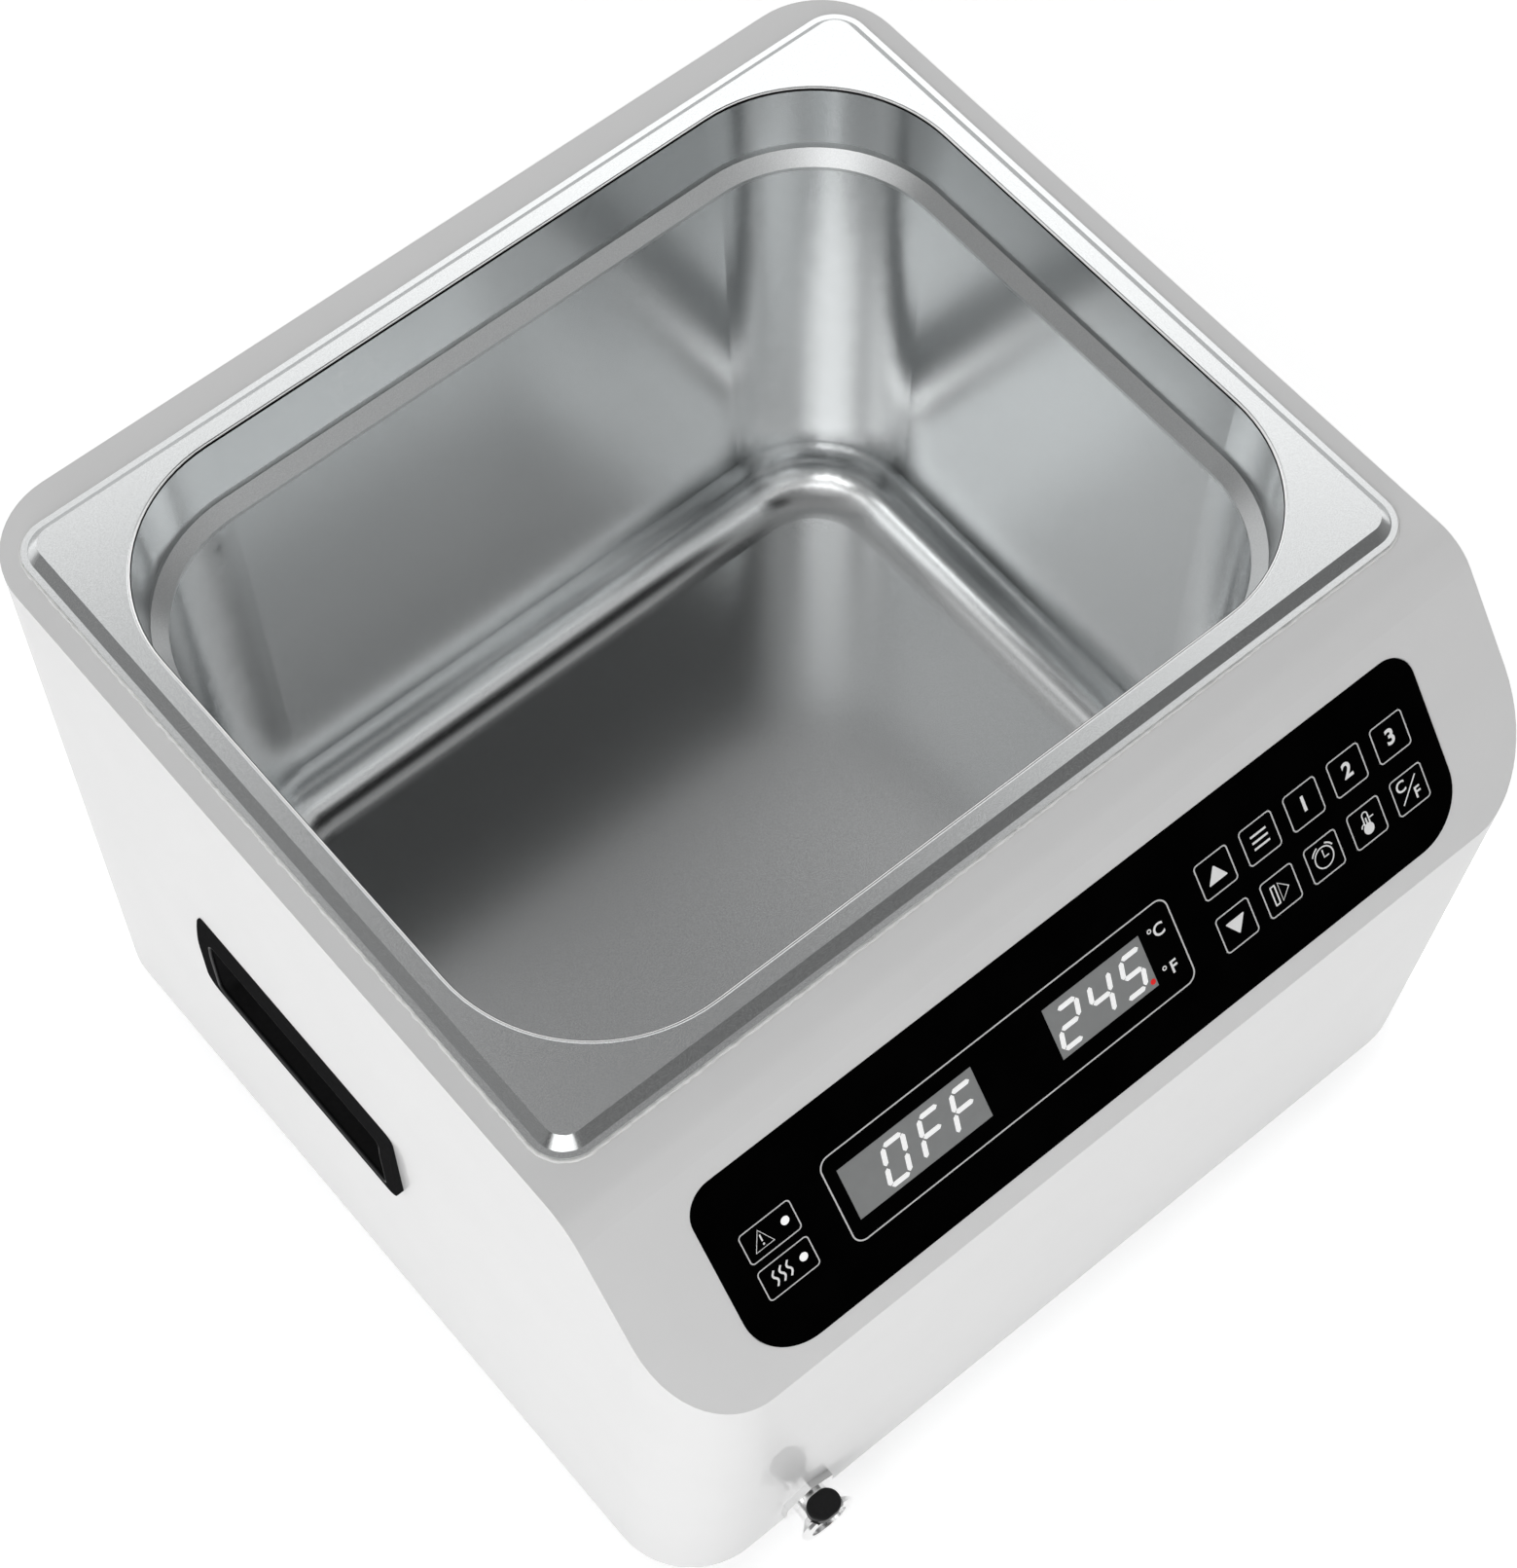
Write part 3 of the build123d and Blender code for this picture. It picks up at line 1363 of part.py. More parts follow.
switched_y = rear_y - switched_from_rear
climb_y = block_y + climb_from_block
probe_lead_x = probe_x - probe_lead_turn
probe_lead_y = power_board_y + power_board_depth / 2 - post_inset
block_top = board_top + block_height
way_seat = block_top - block_way_depth * lead_seat_share
heater_lead_z = tank_base - heater_thickness / 2
pad_front = pan_y - heater_depth / 2
with BuildPart() as heater_leads:
    for x, y in way_places[:2]:
        add(wire_run([(x, pad_front, heater_lead_z), (x, y, heater_lead_z), (x, y, way_seat)], lead_radius, lead_bend))
heater_leads.part.label = "heater_leads"
export_step(heater_leads.part, "parts/heater_leads.step")

inlet_tab_y = rear_y - inlet_body_depth - tab_length
switch_tab_y = rear_y - frame_depth - tab_length
line_x, earth_tab_x, neutral_x = [inlet_x - x for x, y in reversed(blade_places)]
line_z, earth_tab_z, neutral_z = [fitting_z + y for x, y in reversed(blade_places)]
switch_in_z = fitting_z + tab_spacing
switch_out_z = fitting_z - tab_spacing
line_way_x = way_places[3][0]
neutral_way_x = way_places[4][0]
earth_top = plate_top + earth_height
climb_z = block_top + climb_height
mains_routes = [
    [
        (line_x, inlet_tab_y, line_z),
        (line_x, inlet_tab_y - cross_back, line_z),
        (switch_x, inlet_tab_y - cross_back, switch_in_z),
        (switch_x, switch_tab_y, switch_in_z),
    ],
    [
        (switch_x, switch_tab_y, switch_out_z),
        (switch_x, switched_y, switch_out_z),
        (line_way_x, climb_y, climb_z),
        (line_way_x, block_y, climb_z),
        (line_way_x, block_y, way_seat),
    ],
    [
        (neutral_x, inlet_tab_y, neutral_z),
        (neutral_way_x, block_y, neutral_z),
        (neutral_way_x, block_y, way_seat),
    ],
    [
        (earth_tab_x, inlet_tab_y, earth_tab_z),
        (earth_tab_x, switched_y, earth_tab_z),
        (earth_x, earth_y, earth_tab_z),
        (earth_x, earth_y, earth_top),
    ],
]
with BuildPart() as mains_leads:
    for route in mains_routes:
        add(wire_run(route, lead_radius, lead_bend))
mains_leads.part.label = "mains_leads"
export_step(mains_leads.part, "parts/mains_leads.step")

probe_z = tank_base - probe_radius
with BuildPart() as sensor_lead:
    add(wire_run(
        [
            (probe_x, probe_y, probe_z),
            (probe_lead_x, probe_y, probe_z),
            (probe_lead_x, probe_lead_y, probe_z),
            (probe_lead_x, probe_lead_y, board_top),
        ],
        probe_lead_radius,
        lead_bend,
    ))
sensor_lead.part.label = "sensor_lead"
export_step(sensor_lead.part, "parts/sensor_lead.step")

ribbon_y = power_board_y - power_board_depth / 2 + post_inset
ribbon_start = (
    panel_centre
    + Vector(connector_x, 0, 0)
    + panel_plane.y_dir * connector_y
    - slope_out * (board_drop + board_thickness + connector_height)
)
ribbon_run = (ribbon_y - ribbon_start.Y) / -slope_out.Y
ribbon_turn = ribbon_start - slope_out * ribbon_run
with BuildPart() as ribbon_cable:
    with BuildLine() as route:
        FilletPolyline(ribbon_start, ribbon_turn, (connector_x, ribbon_y, board_top), radius=ribbon_bend)
    with BuildSketch(Plane(origin=ribbon_start, x_dir=(1, 0, 0), z_dir=slope_out * -1)):
        Rectangle(ribbon_width, ribbon_thickness)
    sweep()
ribbon_cable.part.label = "ribbon_cable"
export_step(ribbon_cable.part, "parts/ribbon_cable.step")
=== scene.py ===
import bpy
import json
import math
import random
from mathutils import Matrix, Vector


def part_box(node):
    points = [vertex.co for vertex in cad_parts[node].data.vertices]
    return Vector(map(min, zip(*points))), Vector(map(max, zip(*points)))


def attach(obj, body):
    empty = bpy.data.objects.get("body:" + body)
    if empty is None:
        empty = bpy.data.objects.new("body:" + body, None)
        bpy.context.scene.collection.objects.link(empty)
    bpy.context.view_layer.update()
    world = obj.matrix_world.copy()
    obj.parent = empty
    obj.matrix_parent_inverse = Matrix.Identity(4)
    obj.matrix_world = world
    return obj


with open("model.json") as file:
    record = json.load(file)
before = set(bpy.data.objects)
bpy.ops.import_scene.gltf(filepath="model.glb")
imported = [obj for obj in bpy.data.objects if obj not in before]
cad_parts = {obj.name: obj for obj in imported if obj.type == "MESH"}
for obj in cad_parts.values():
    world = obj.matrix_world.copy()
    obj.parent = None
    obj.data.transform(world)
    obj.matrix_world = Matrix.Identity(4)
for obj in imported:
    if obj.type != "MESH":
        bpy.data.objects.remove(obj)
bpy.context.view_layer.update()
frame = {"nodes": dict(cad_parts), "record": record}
nodes = frame["nodes"]
mm = 0.001
print("frame loaded:", len(nodes), "nodes")


# Camera

view = {
    "lens": 84.49, "sensor": 36.0,
    "shiftX": -0.0309, "shiftY": 0.0075,
    "place": (-0.36533, -0.45230, 1.17998),
    "right": (0.76477, -0.64430, 0.00093),  # the camera's own three directions
    "up": (0.56261, 0.66850, 0.48638),
    "back": (-0.31400, -0.37145, 0.87374),
}
cameraData = bpy.data.cameras.new("camera")
cameraData.lens = view["lens"]
cameraData.sensor_width = view["sensor"]
cameraData.sensor_fit = 'AUTO'
cameraData.shift_x = view["shiftX"]
cameraData.shift_y = view["shiftY"]
camera = bpy.data.objects.new("camera", cameraData)
bpy.context.scene.collection.objects.link(camera)
cameraTurn = Matrix((view["right"], view["up"], view["back"])).transposed()
camera.matrix_world = Matrix.Translation(view["place"]) @ cameraTurn.to_4x4()
bpy.context.scene.camera = camera
bpy.context.scene.view_settings.view_transform = 'Standard'
print("camera placed")


# Light: a sky that is darker overhead, with soft patches for the steel to mirror, and one lamp at the left

light = {
    "level": 0.88,
    "rampTop": 2.0,  # the brightest level that a ramp holds, because its own colours stop at 1
    "frontDome": [  # height of a direction, level of the light from there
        (0.0, 0.30), (0.20, 0.25), (0.36, 0.14), (0.53, 0.48), (0.70, 0.60), (0.75, 0.66),
        (0.79, 0.98), (0.805, 0.82), (0.82, 0.45), (0.86, 0.24), (0.90, 0.22), (1.0, 0.28),
    ],
    "rearDome": [
        (0.0, 0.98), (0.5, 0.70), (0.70, 1.10), (0.765, 1.95), (0.80, 1.50), (0.815, 1.00),
        (0.828, 0.70), (0.845, 0.62), (0.88, 0.50), (0.91, 0.49), (1.0, 0.28),
    ],
    "turnOver": 0.12,  # how far each dome reaches over the middle into the other
    "patches": [  # direction, cosine where it is full, cosine where it ends, its light against the dome's
        ((0.25, -0.36, 0.899), 0.991, 0.962, 0.0),
        ((-0.45, -0.32, 0.835), 0.995, 0.95, 2.6),
        ((-0.55, 0.45, 0.70), 0.978, 0.93, 0.55),
        ((-0.31, 0.40, 0.865), 0.996, 0.982, 1.35),
        ((-0.33, -0.82, 0.47), 0.990, 0.975, 7.0),
        ((-0.65, -0.60, 0.47), 0.990, 0.975, 7.0),
        ((-0.83, -0.30, 0.47), 0.990, 0.975, 7.0),
        ((-0.90, 0.32, 0.28), 0.97, 0.80, 0.32),
        ((0.285, 0.385, 0.878), 0.9985, 0.990, 0.45),
        ((0.395, 0.33, 0.857), 0.9985, 0.9955, 1.7),
    ],
    "lampPlace": (-1.50, -1.20, 0.45), "lampTarget": (0, 0, 0.10),
    "lampWidth": 1.1, "lampHeight": 0.9, "lampPower": 10.5,
}


def addNode(tree, kind, values=None, **settings):
    # A shader node with its settings, and with values for the inputs that are named
    made = tree.nodes.new('ShaderNode' + kind)
    for key, value in settings.items():
        setattr(made, key, value)
    for key, value in (values or {}).items():
        made.inputs[key].default_value = value
    return made


world = bpy.data.worlds.new("studio")
bpy.context.scene.world = world
world.use_nodes = True
sky = world.node_tree
sky.nodes.clear()
joinSky = sky.links.new


def domeRamp(stops, height):
    ramp = addNode(sky, 'ValToRGB')
    knots = ramp.color_ramp.elements
    for count, (stop, level) in enumerate(stops):
        knot = knots[count] if count < 2 else knots.new(stop)  # a new ramp has two knots
        knot.position = stop
        grey = level / light["rampTop"]
        knot.color = (grey, grey, grey, 1)
    joinSky(height, ramp.inputs["Fac"])
    return ramp.outputs["Color"]


toward = addNode(sky, 'TexCoord')
split = addNode(sky, 'SeparateXYZ')
rearShare = addNode(sky, 'MapRange', {"From Min": -light["turnOver"], "From Max": light["turnOver"]},
                    interpolation_type='SMOOTHSTEP')
domes = addNode(sky, 'Mix', data_type='RGBA')
plain = addNode(sky, 'Background')
white = addNode(sky, 'Background', {"Color": (1, 1, 1, 1)})
ray = addNode(sky, 'LightPath')
choose = addNode(sky, 'MixShader')
skyOut = addNode(sky, 'OutputWorld')
joinSky(toward.outputs["Generated"], split.inputs[0])
joinSky(split.outputs["Y"], rearShare.inputs["Value"])
joinSky(rearShare.outputs["Result"], domes.inputs["Factor"])
joinSky(domeRamp(light["frontDome"], split.outputs["Z"]), domes.inputs["A"])
joinSky(domeRamp(light["rearDome"], split.outputs["Z"]), domes.inputs["B"])
joinSky(domes.outputs["Result"], plain.inputs["Color"])
strength = None
for direction, full, end, share in light["patches"]:
    cosine = addNode(sky, 'VectorMath', {1: Vector(direction).normalized()}, operation='DOT_PRODUCT')
    patch = addNode(sky, 'MapRange', {"From Min": end, "From Max": full, "To Min": 1, "To Max": share},
                    interpolation_type='SMOOTHSTEP')
    times = addNode(sky, 'Math', {0: light["rampTop"] * light["level"]}, operation='MULTIPLY')
    joinSky(toward.outputs["Generated"], cosine.inputs[0])
    joinSky(cosine.outputs["Value"], patch.inputs["Value"])
    joinSky(patch.outputs["Result"], times.inputs[1])
    if strength:
        joinSky(strength, times.inputs[0])
    strength = times.outputs[0]
joinSky(strength, plain.inputs["Strength"])
joinSky(ray.outputs["Is Camera Ray"], choose.inputs[0])
joinSky(plain.outputs[0], choose.inputs[1])
joinSky(white.outputs[0], choose.inputs[2])
joinSky(choose.outputs[0], skyOut.inputs["Surface"])

lampData = bpy.data.lights.new("leftLamp", 'AREA')
lampData.shape = 'RECTANGLE'
lampData.size = light["lampWidth"]
lampData.size_y = light["lampHeight"]
lampData.energy = light["lampPower"]
lamp = bpy.data.objects.new("leftLamp", lampData)
bpy.context.scene.collection.objects.link(lamp)
aim = (Vector(light["lampTarget"]) - Vector(light["lampPlace"])).to_track_quat('-Z', 'Y')
lamp.matrix_world = Matrix.Translation(light["lampPlace"]) @ aim.to_matrix().to_4x4()
print("sky and lamp made")


# Materials

surface = {"coatRoughness": 0.03, "noiseDetail": 3, "rampFrom": 0.3, "rampTo": 0.7}


def material(name, color, roughness=0.5, metallic=0.0, spread=0.05, grain=300, bump=0.0,
             stretch=(1, 1, 1), coat=0.0, roughSpread=0.0, emission=0.0, shine=0.5, bands=()):
    # A shader whose colour wavers a little with a noise, with a fine bump of the same grain
    made = bpy.data.materials.new(name)
    made.use_nodes = True
    web = made.node_tree
    link = web.links.new
    shader = web.nodes["Principled BSDF"]
    shader.inputs["Metallic"].default_value = metallic
    shader.inputs["Roughness"].default_value = roughness
    shader.inputs["Specular IOR Level"].default_value = shine
    shader.inputs["Coat Weight"].default_value = coat
    shader.inputs["Coat Roughness"].default_value = surface["coatRoughness"]
    place = addNode(web, 'TexCoord')
    fit = addNode(web, 'Mapping', {"Scale": stretch})
    noise = addNode(web, 'TexNoise', {"Scale": grain, "Detail": surface["noiseDetail"]})
    ramp = addNode(web, 'ValToRGB')
    dark, pale = ramp.color_ramp.elements
    dark.color = (*[max(part * (1 - spread), 0) for part in color], 1)
    pale.color = (*[min(part * (1 + spread), 1) for part in color], 1)
    dark.position = surface["rampFrom"]
    pale.position = surface["rampTo"]
    link(place.outputs["Object"], fit.inputs["Vector"])
    link(fit.outputs["Vector"], noise.inputs["Vector"])
    link(noise.outputs["Fac"], ramp.inputs["Fac"])
    tint, rough = ramp.outputs["Color"], None
    if roughSpread:
        vary = addNode(web, 'MapRange', {"To Min": roughness - roughSpread, "To Max": roughness + roughSpread})
        link(noise.outputs["Fac"], vary.inputs["Value"])
        rough = vary.outputs["Result"]
    for middle, halfHeight, added, share in bands:
        # A level band with added roughness, its colour darkened by a share as painted shade where the share is
        # below 1: its middle and half height, added roughness, share of the colour
        height = addNode(web, 'SeparateXYZ')
        within = addNode(web, 'Math', {1: middle, 2: halfHeight}, operation='COMPARE')
        rougher = addNode(web, 'Math', {1: added, 2: roughness}, operation='MULTIPLY_ADD')
        darker = addNode(web, 'Math', {1: share - 1}, operation='MULTIPLY')
        shaded = addNode(web, 'VectorMath', operation='MULTIPLY_ADD')
        link(place.outputs["Object"], height.inputs[0])
        link(height.outputs["Z"], within.inputs[0])
        link(within.outputs[0], rougher.inputs[0])
        link(within.outputs[0], darker.inputs[0])
        link(tint, shaded.inputs[0])
        link(darker.outputs[0], shaded.inputs[1])
        link(tint, shaded.inputs[2])
        if rough:
            link(rough, rougher.inputs[2])
        tint, rough = shaded.outputs[0], rougher.outputs[0]
    link(tint, shader.inputs["Base Color"])
    if rough:
        link(rough, shader.inputs["Roughness"])
    if bump:
        relief = addNode(web, 'Bump', {"Distance": bump})
        link(noise.outputs["Fac"], relief.inputs["Height"])
        link(relief.outputs["Normal"], shader.inputs["Normal"])
    if emission:
        shader.inputs["Emission Color"].default_value = (*color, 1)
        shader.inputs["Emission Strength"].default_value = emission
    return made


finishes = {
    "white_enamel": material("whiteEnamel", (0.77, 0.77, 0.77), roughness=0.35, spread=0.01,
                             grain=30, bump=0.000005, coat=0.3),
    "grey_sheet": material("greySheet", (0.42, 0.43, 0.44), roughness=0.45, metallic=0.3,
                           grain=60, bump=0.00002),
    "zinc_steel": material("zincSteel", (0.55, 0.56, 0.58), roughness=0.32, metallic=1, spread=0.08,
                           grain=500, bump=0.00001),
    "rubber": material("rubberBlack", (0.018, 0.018, 0.018), roughness=0.7, spread=0.2,
                       grain=900, bump=0.00003),
    "stainless": material("stainlessBrushed", (0.765, 0.779, 0.783), roughness=0.18, metallic=1, spread=0.10,
                          grain=2200, stretch=(1, 1.6, 1.6), roughSpread=0.05,
                          bands=[(0.2365, 0.004, 0.13, 0.92),  # the ledge under the rim: rougher, and its colour darkened as painted shade
                                 (0.14975, 0.08275, 0.025, 1.0)]),  # the walls
    "silicone": material("siliconeWhite", (0.86, 0.86, 0.85), bump=0.00002),
    "felt": material("feltWool", (0.55, 0.52, 0.45), roughness=0.95, spread=0.25, grain=700, bump=0.0003),
    "heater_silicone": material("heaterRed", (0.30, 0.05, 0.03), roughness=0.6, spread=0.1, bump=0.00005),
    "aluminium": material("aluminiumPlate", (0.66, 0.66, 0.68), roughness=0.35, metallic=1,
                          grain=80, bump=0.00001, stretch=(1, 20, 20)),
    "polished_steel": material("polishedSteel", (0.82, 0.82, 0.82), roughness=0.20, metallic=1, spread=0.03,
                               grain=200),
    "brass": material("brassPlug", (0.62, 0.42, 0.16), roughness=0.25, metallic=1, spread=0.06, bump=0.00001),
    "panel_film": material("blackFilm", (0.001, 0.001, 0.001), roughness=0.4, spread=0.3, grain=60, shine=0.0),
    "window_tint": material("windowGrey", (0.24, 0.246, 0.246), roughness=0.45, spread=0.03),
    "display_face": material("displayBlack", (0.01, 0.01, 0.01), spread=0.1),
    "lamp_lens": material("lampWhite", (0.9, 0.9, 0.9), roughness=0.35, spread=0.02, emission=0.3),
    "key_cap": material("keyBlack", (0.001, 0.001, 0.001), roughness=0.4, spread=0.3, grain=60, shine=0.0),
    "black_plastic": material("plasticBlack", (0.015, 0.015, 0.0155), roughness=0.35, spread=0.1,
                              grain=700, bump=0.000004, shine=0.14),
    "circuit_board": material("boardGreen", (0.02, 0.16, 0.06), roughness=0.4, spread=0.15,
                              grain=200, bump=0.00002),
    "relay_case": material("relayBlue", (0.03, 0.08, 0.35), roughness=0.35, bump=0.00001),
    "transformer_iron": material("ironCore", (0.09, 0.09, 0.095), metallic=0.6, spread=0.15,
                                 grain=60, bump=0.0001, stretch=(1, 1, 25)),
    "terminal_green": material("terminalGreen", (0.03, 0.25, 0.08), roughness=0.45, spread=0.06, bump=0.00001),
    "lead_sheath": material("leadBrown", (0.12, 0.04, 0.02), spread=0.1, bump=0.00001),
    "ribbon_grey": material("ribbonGrey", (0.4, 0.4, 0.4), spread=0.1,
                            grain=800, bump=0.00003, stretch=(1, 0.05, 0.05)),
}
# The opening edge: steel lighter than the pan's own as a painted highlight, with painted shade below its top
# line
edgePaintedHighlightShade = material("edgePaintedHighlightShade", (0.99, 0.99, 0.99), roughness=0.22, metallic=1, spread=0.02, grain=200,
                      bands=[(0.2544, 0.01047, 0.3, 0.01)])  # painted shade: dark below its top line
gripMatt = material("gripMatt", (0.015, 0.015, 0.0155), spread=0.1, grain=700, bump=0.000006, shine=0.0)
# The grips' black plastic made lighter for their rolled edges: a painted highlight
gripEdgePaintedHighlight = material("gripEdgePaintedHighlight", (0.03, 0.03, 0.031), roughness=0.4, shine=0.15)
printWhite = material("printWhite", (0.88, 0.88, 0.88), spread=0.02)
printGrey = material("printGrey", (0.62, 0.62, 0.62), spread=0.02)
digitWhite = material("digitWhite", (0.9, 0.9, 0.9), spread=0.02, emission=0.25)
dotRed = material("dotRed", (0.6, 0.002, 0.002), emission=0.4)

for row in frame["record"]["subparts"]:
    node = nodes[row["node"]]
    node.data.materials.clear()
    node.data.materials.append(gripMatt if "handle" in row["node"] else finishes[row["material_slot"]])
print("materials made:", len(finishes))


# Tools for closed tubes, and for small marks drawn in millimetres on the panel

panel = {
    "angle": 54.4, "thickness": 1.2, "windowSunk": 0.1,
    "lineHeight": 0.06, "boxSegments": 8, "cornerSegments": 4, "tubeSegments": 2, "strokeSteps": 8,
}
lowFilm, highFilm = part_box("control_overlay")
slope = math.radians(panel["angle"])
panelOut = Vector((0, -math.sin(slope), math.cos(slope)))
panelUp = Vector((0, math.cos(slope), math.sin(slope)))
panelMiddle = (lowFilm + highFilm) / 2 + panelOut * panel["thickness"] / 2 * mm
panelTurn = Matrix(((1, 0, 0), panelUp, panelOut)).transposed()
onPanel = Matrix.Translation(panelMiddle) @ panelTurn.to_4x4() @ Matrix.Scale(mm, 4)


def allOff():
    if bpy.context.object and bpy.context.object.mode != 'OBJECT':
        bpy.ops.object.mode_set(mode='OBJECT')
    bpy.ops.object.select_all(action='DESELECT')


def join(parts, name):
    allOff()
    for part in parts:
        part.select_set(True)
    bpy.context.view_layer.objects.active = parts[0]
    if len(parts) > 1:
        bpy.ops.object.join()
    whole = bpy.context.object
    whole.name = name
    whole.data.name = name
    return whole


def editAll():
    bpy.ops.object.mode_set(mode='EDIT')
    bpy.ops.mesh.select_all(action='SELECT')


def closeUp():
    # Turns the faces of the mesh in edit mode outwards, and leaves edit mode
    bpy.ops.mesh.select_all(action='SELECT')
    bpy.ops.mesh.normals_make_consistent(inside=False)
    bpy.ops.object.mode_set(mode='OBJECT')


def giveHeight():
    # Extrudes the flat shape in edit mode to the height of a printed line
    bpy.ops.mesh.select_all(action='SELECT')
    bpy.ops.mesh.extrude_region_move(TRANSFORM_OT_translate={"value": (0, 0, panel["lineHeight"])})
    closeUp()


def outlineBox(xs, ys, radius, line):
    # A rounded frame line: a plate with round corners, inset, its middle taken out
    allOff()
    bpy.ops.mesh.primitive_plane_add(size=1, location=((xs[0] + xs[1]) / 2, (ys[0] + ys[1]) / 2, 0))
    thing = bpy.context.object
    thing.scale = (xs[1] - xs[0], ys[1] - ys[0], 1)
    bpy.ops.object.transform_apply(location=True, rotation=True, scale=True)
    editAll()
    bpy.ops.mesh.bevel(affect='VERTICES', offset=radius, segments=panel["boxSegments"])
    bpy.ops.mesh.select_all(action='SELECT')
    bpy.ops.mesh.inset(thickness=line)
    bpy.ops.mesh.delete(type='FACE')
    giveHeight()
    return thing


def plate(points, corner=0.0):
    # A flat filled shape with straight sides, given height; its corners are rounded if a size is given
    allOff()
    bpy.ops.mesh.primitive_circle_add(vertices=len(points), radius=1, fill_type='NGON')
    thing = bpy.context.object
    for vertex, point in zip(thing.data.vertices, points):
        vertex.co = (*point, 0)
    editAll()
    if corner:
        bpy.ops.mesh.bevel(affect='VERTICES', offset=corner, segments=panel["cornerSegments"])
    giveHeight()
    return thing


def emptyCurve(radius):
    # A curve object that is round in section and has no line yet
    allOff()
    bpy.ops.curve.primitive_bezier_curve_add()
    thing = bpy.context.object
    thing.data.splines.clear()
    thing.data.bevel_depth = radius
    thing.data.bevel_resolution = panel["tubeSegments"]
    return thing


def tube(points, radius, swell=None):
    # A closed round tube along points, with a swell of its radius for each point
    thing = emptyCurve(radius)
    spline = thing.data.splines.new('POLY')
    spline.points.add(len(points) - 1)
    for count, point in enumerate(points):
        spline.points[count].co = (*point, 1)
        spline.points[count].radius = swell[count] if swell else 1
    spline.use_cyclic_u = True
    bpy.ops.object.convert(target='MESH')
    thing = bpy.context.object
    editAll()
    closeUp()
    bpy.ops.object.shade_smooth()
    return thing


def stroke(points, width, closed=False, smooth=False):
    # A line drawn along points, as a flattened tube
    thing = emptyCurve(width / 2)
    spline = thing.data.splines.new('BEZIER')
    spline.bezier_points.add(len(points) - 1)
    for knot, point in zip(spline.bezier_points, points):
        knot.co = (*point, 0)
        knot.handle_left_type = knot.handle_right_type = 'AUTO' if smooth else 'VECTOR'
    spline.use_cyclic_u = closed
    spline.resolution_u = panel["strokeSteps"]
    thing.data.use_fill_caps = True
    bpy.ops.object.convert(target='MESH')
    thing = bpy.context.object
    thing.data.transform(Matrix.Diagonal((1, 1, 2 * panel["lineHeight"] / width, 1)))
    return thing


def letter(text, x, y, size, bold):
    # A plain sign in the built-in letters, centred on its place
    allOff()
    bpy.ops.object.text_add(location=(x, y, 0))
    thing = bpy.context.object
    thing.data.body = text
    thing.data.size = size
    thing.data.align_x = 'CENTER'
    thing.data.align_y = 'CENTER'
    thing.data.extrude = panel["lineHeight"]
    thing.data.offset = bold
    bpy.ops.object.convert(target='MESH')
    thing = bpy.context.object
    bpy.ops.object.transform_apply(location=True, rotation=True, scale=True)
    return thing


def circlePoints(x, y, radius, count=24, start=0.0, sweep=360.0):
    # Points on a circle, or on an arc of it with a point at each end
    steps = count if sweep >= 360 else count - 1
    return [
        (x + radius * math.cos(math.radians(start + sweep * i / steps)),
         y + radius * math.sin(math.radians(start + sweep * i / steps)))
        for i in range(count)
    ]


def shifted(points, x, y):
    return [(x + across, y + up) for across, up in points]


def settle(thing, body, finish, lift=0.0):
    # Puts marks drawn in the panel's own millimetres on the panel, and lets them ride on a body
    thing.data.transform(onPanel @ Matrix.Translation((0, 0, lift)))
    thing.data.materials.clear()
    thing.data.materials.append(finish)
    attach(thing, body)


# The pan's polished opening edge, and the bead of silicone pressed out round the lip

rim = {
    "width": 325.0, "depth": 265.0, "radius": 12.0, "shelf": 11.5, "openRadius": 54.0,
    "deck": 260.0, "rise": 5.0,
    "edge": 0.62, "edgeOut": 0.05, "edgeStep": 4.0,
    "bead": 0.55, "beadOut": 0.3, "beadLift": 0.1, "beadStep": 1.5,
    "beadSwell": 0.35, "beadShift": 0.16, "seed": 7,
}
lowPan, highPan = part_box("tank")
panMiddle = (lowPan + highPan) / 2


def roundTrack(width, depth, radius, z, step):
    # Points round a rectangle with round corners, anticlockwise, with six or more bends to a corner
    track = []
    for count, (sx, sy) in enumerate(((1, -1), (1, 1), (-1, 1), (-1, -1))):
        middle = Vector((sx * (width / 2 - radius), sy * (depth / 2 - radius), z))
        bends = max(int(radius * math.pi / 2 / step), 6)
        for i in range(bends + 1):
            turned = math.radians(90 * (count - 1 + i / bends))
            track.append(middle + Vector((math.cos(turned), math.sin(turned), 0)) * radius)
        run = (depth if sx * sy < 0 else width) - 2 * radius
        parts = max(int(run / step), 1)
        ahead = Vector((-math.sin(turned), math.cos(turned), 0))
        corner = track[-1]
        track += [corner + ahead * run * i / parts for i in range(1, parts)]
    return track


def roundPan(track):
    # From millimetres about the pan's middle to metres
    return [point * mm + Vector((0, panMiddle.y, 0)) for point in track]


edgeOut = rim["edgeOut"]
track = roundTrack(
    rim["width"] - 2 * rim["shelf"] + 2 * edgeOut, rim["depth"] - 2 * rim["shelf"] + 2 * edgeOut,
    rim["openRadius"] + edgeOut, rim["deck"] + rim["rise"] - rim["edge"], rim["edgeStep"])
edge = tube(roundPan(track), rim["edge"] * mm)
edge.name = "opening_edge"
# painted highlight on the edge's top, painted shade beneath it
edge.data.materials.append(edgePaintedHighlightShade)
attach(edge, "casing")

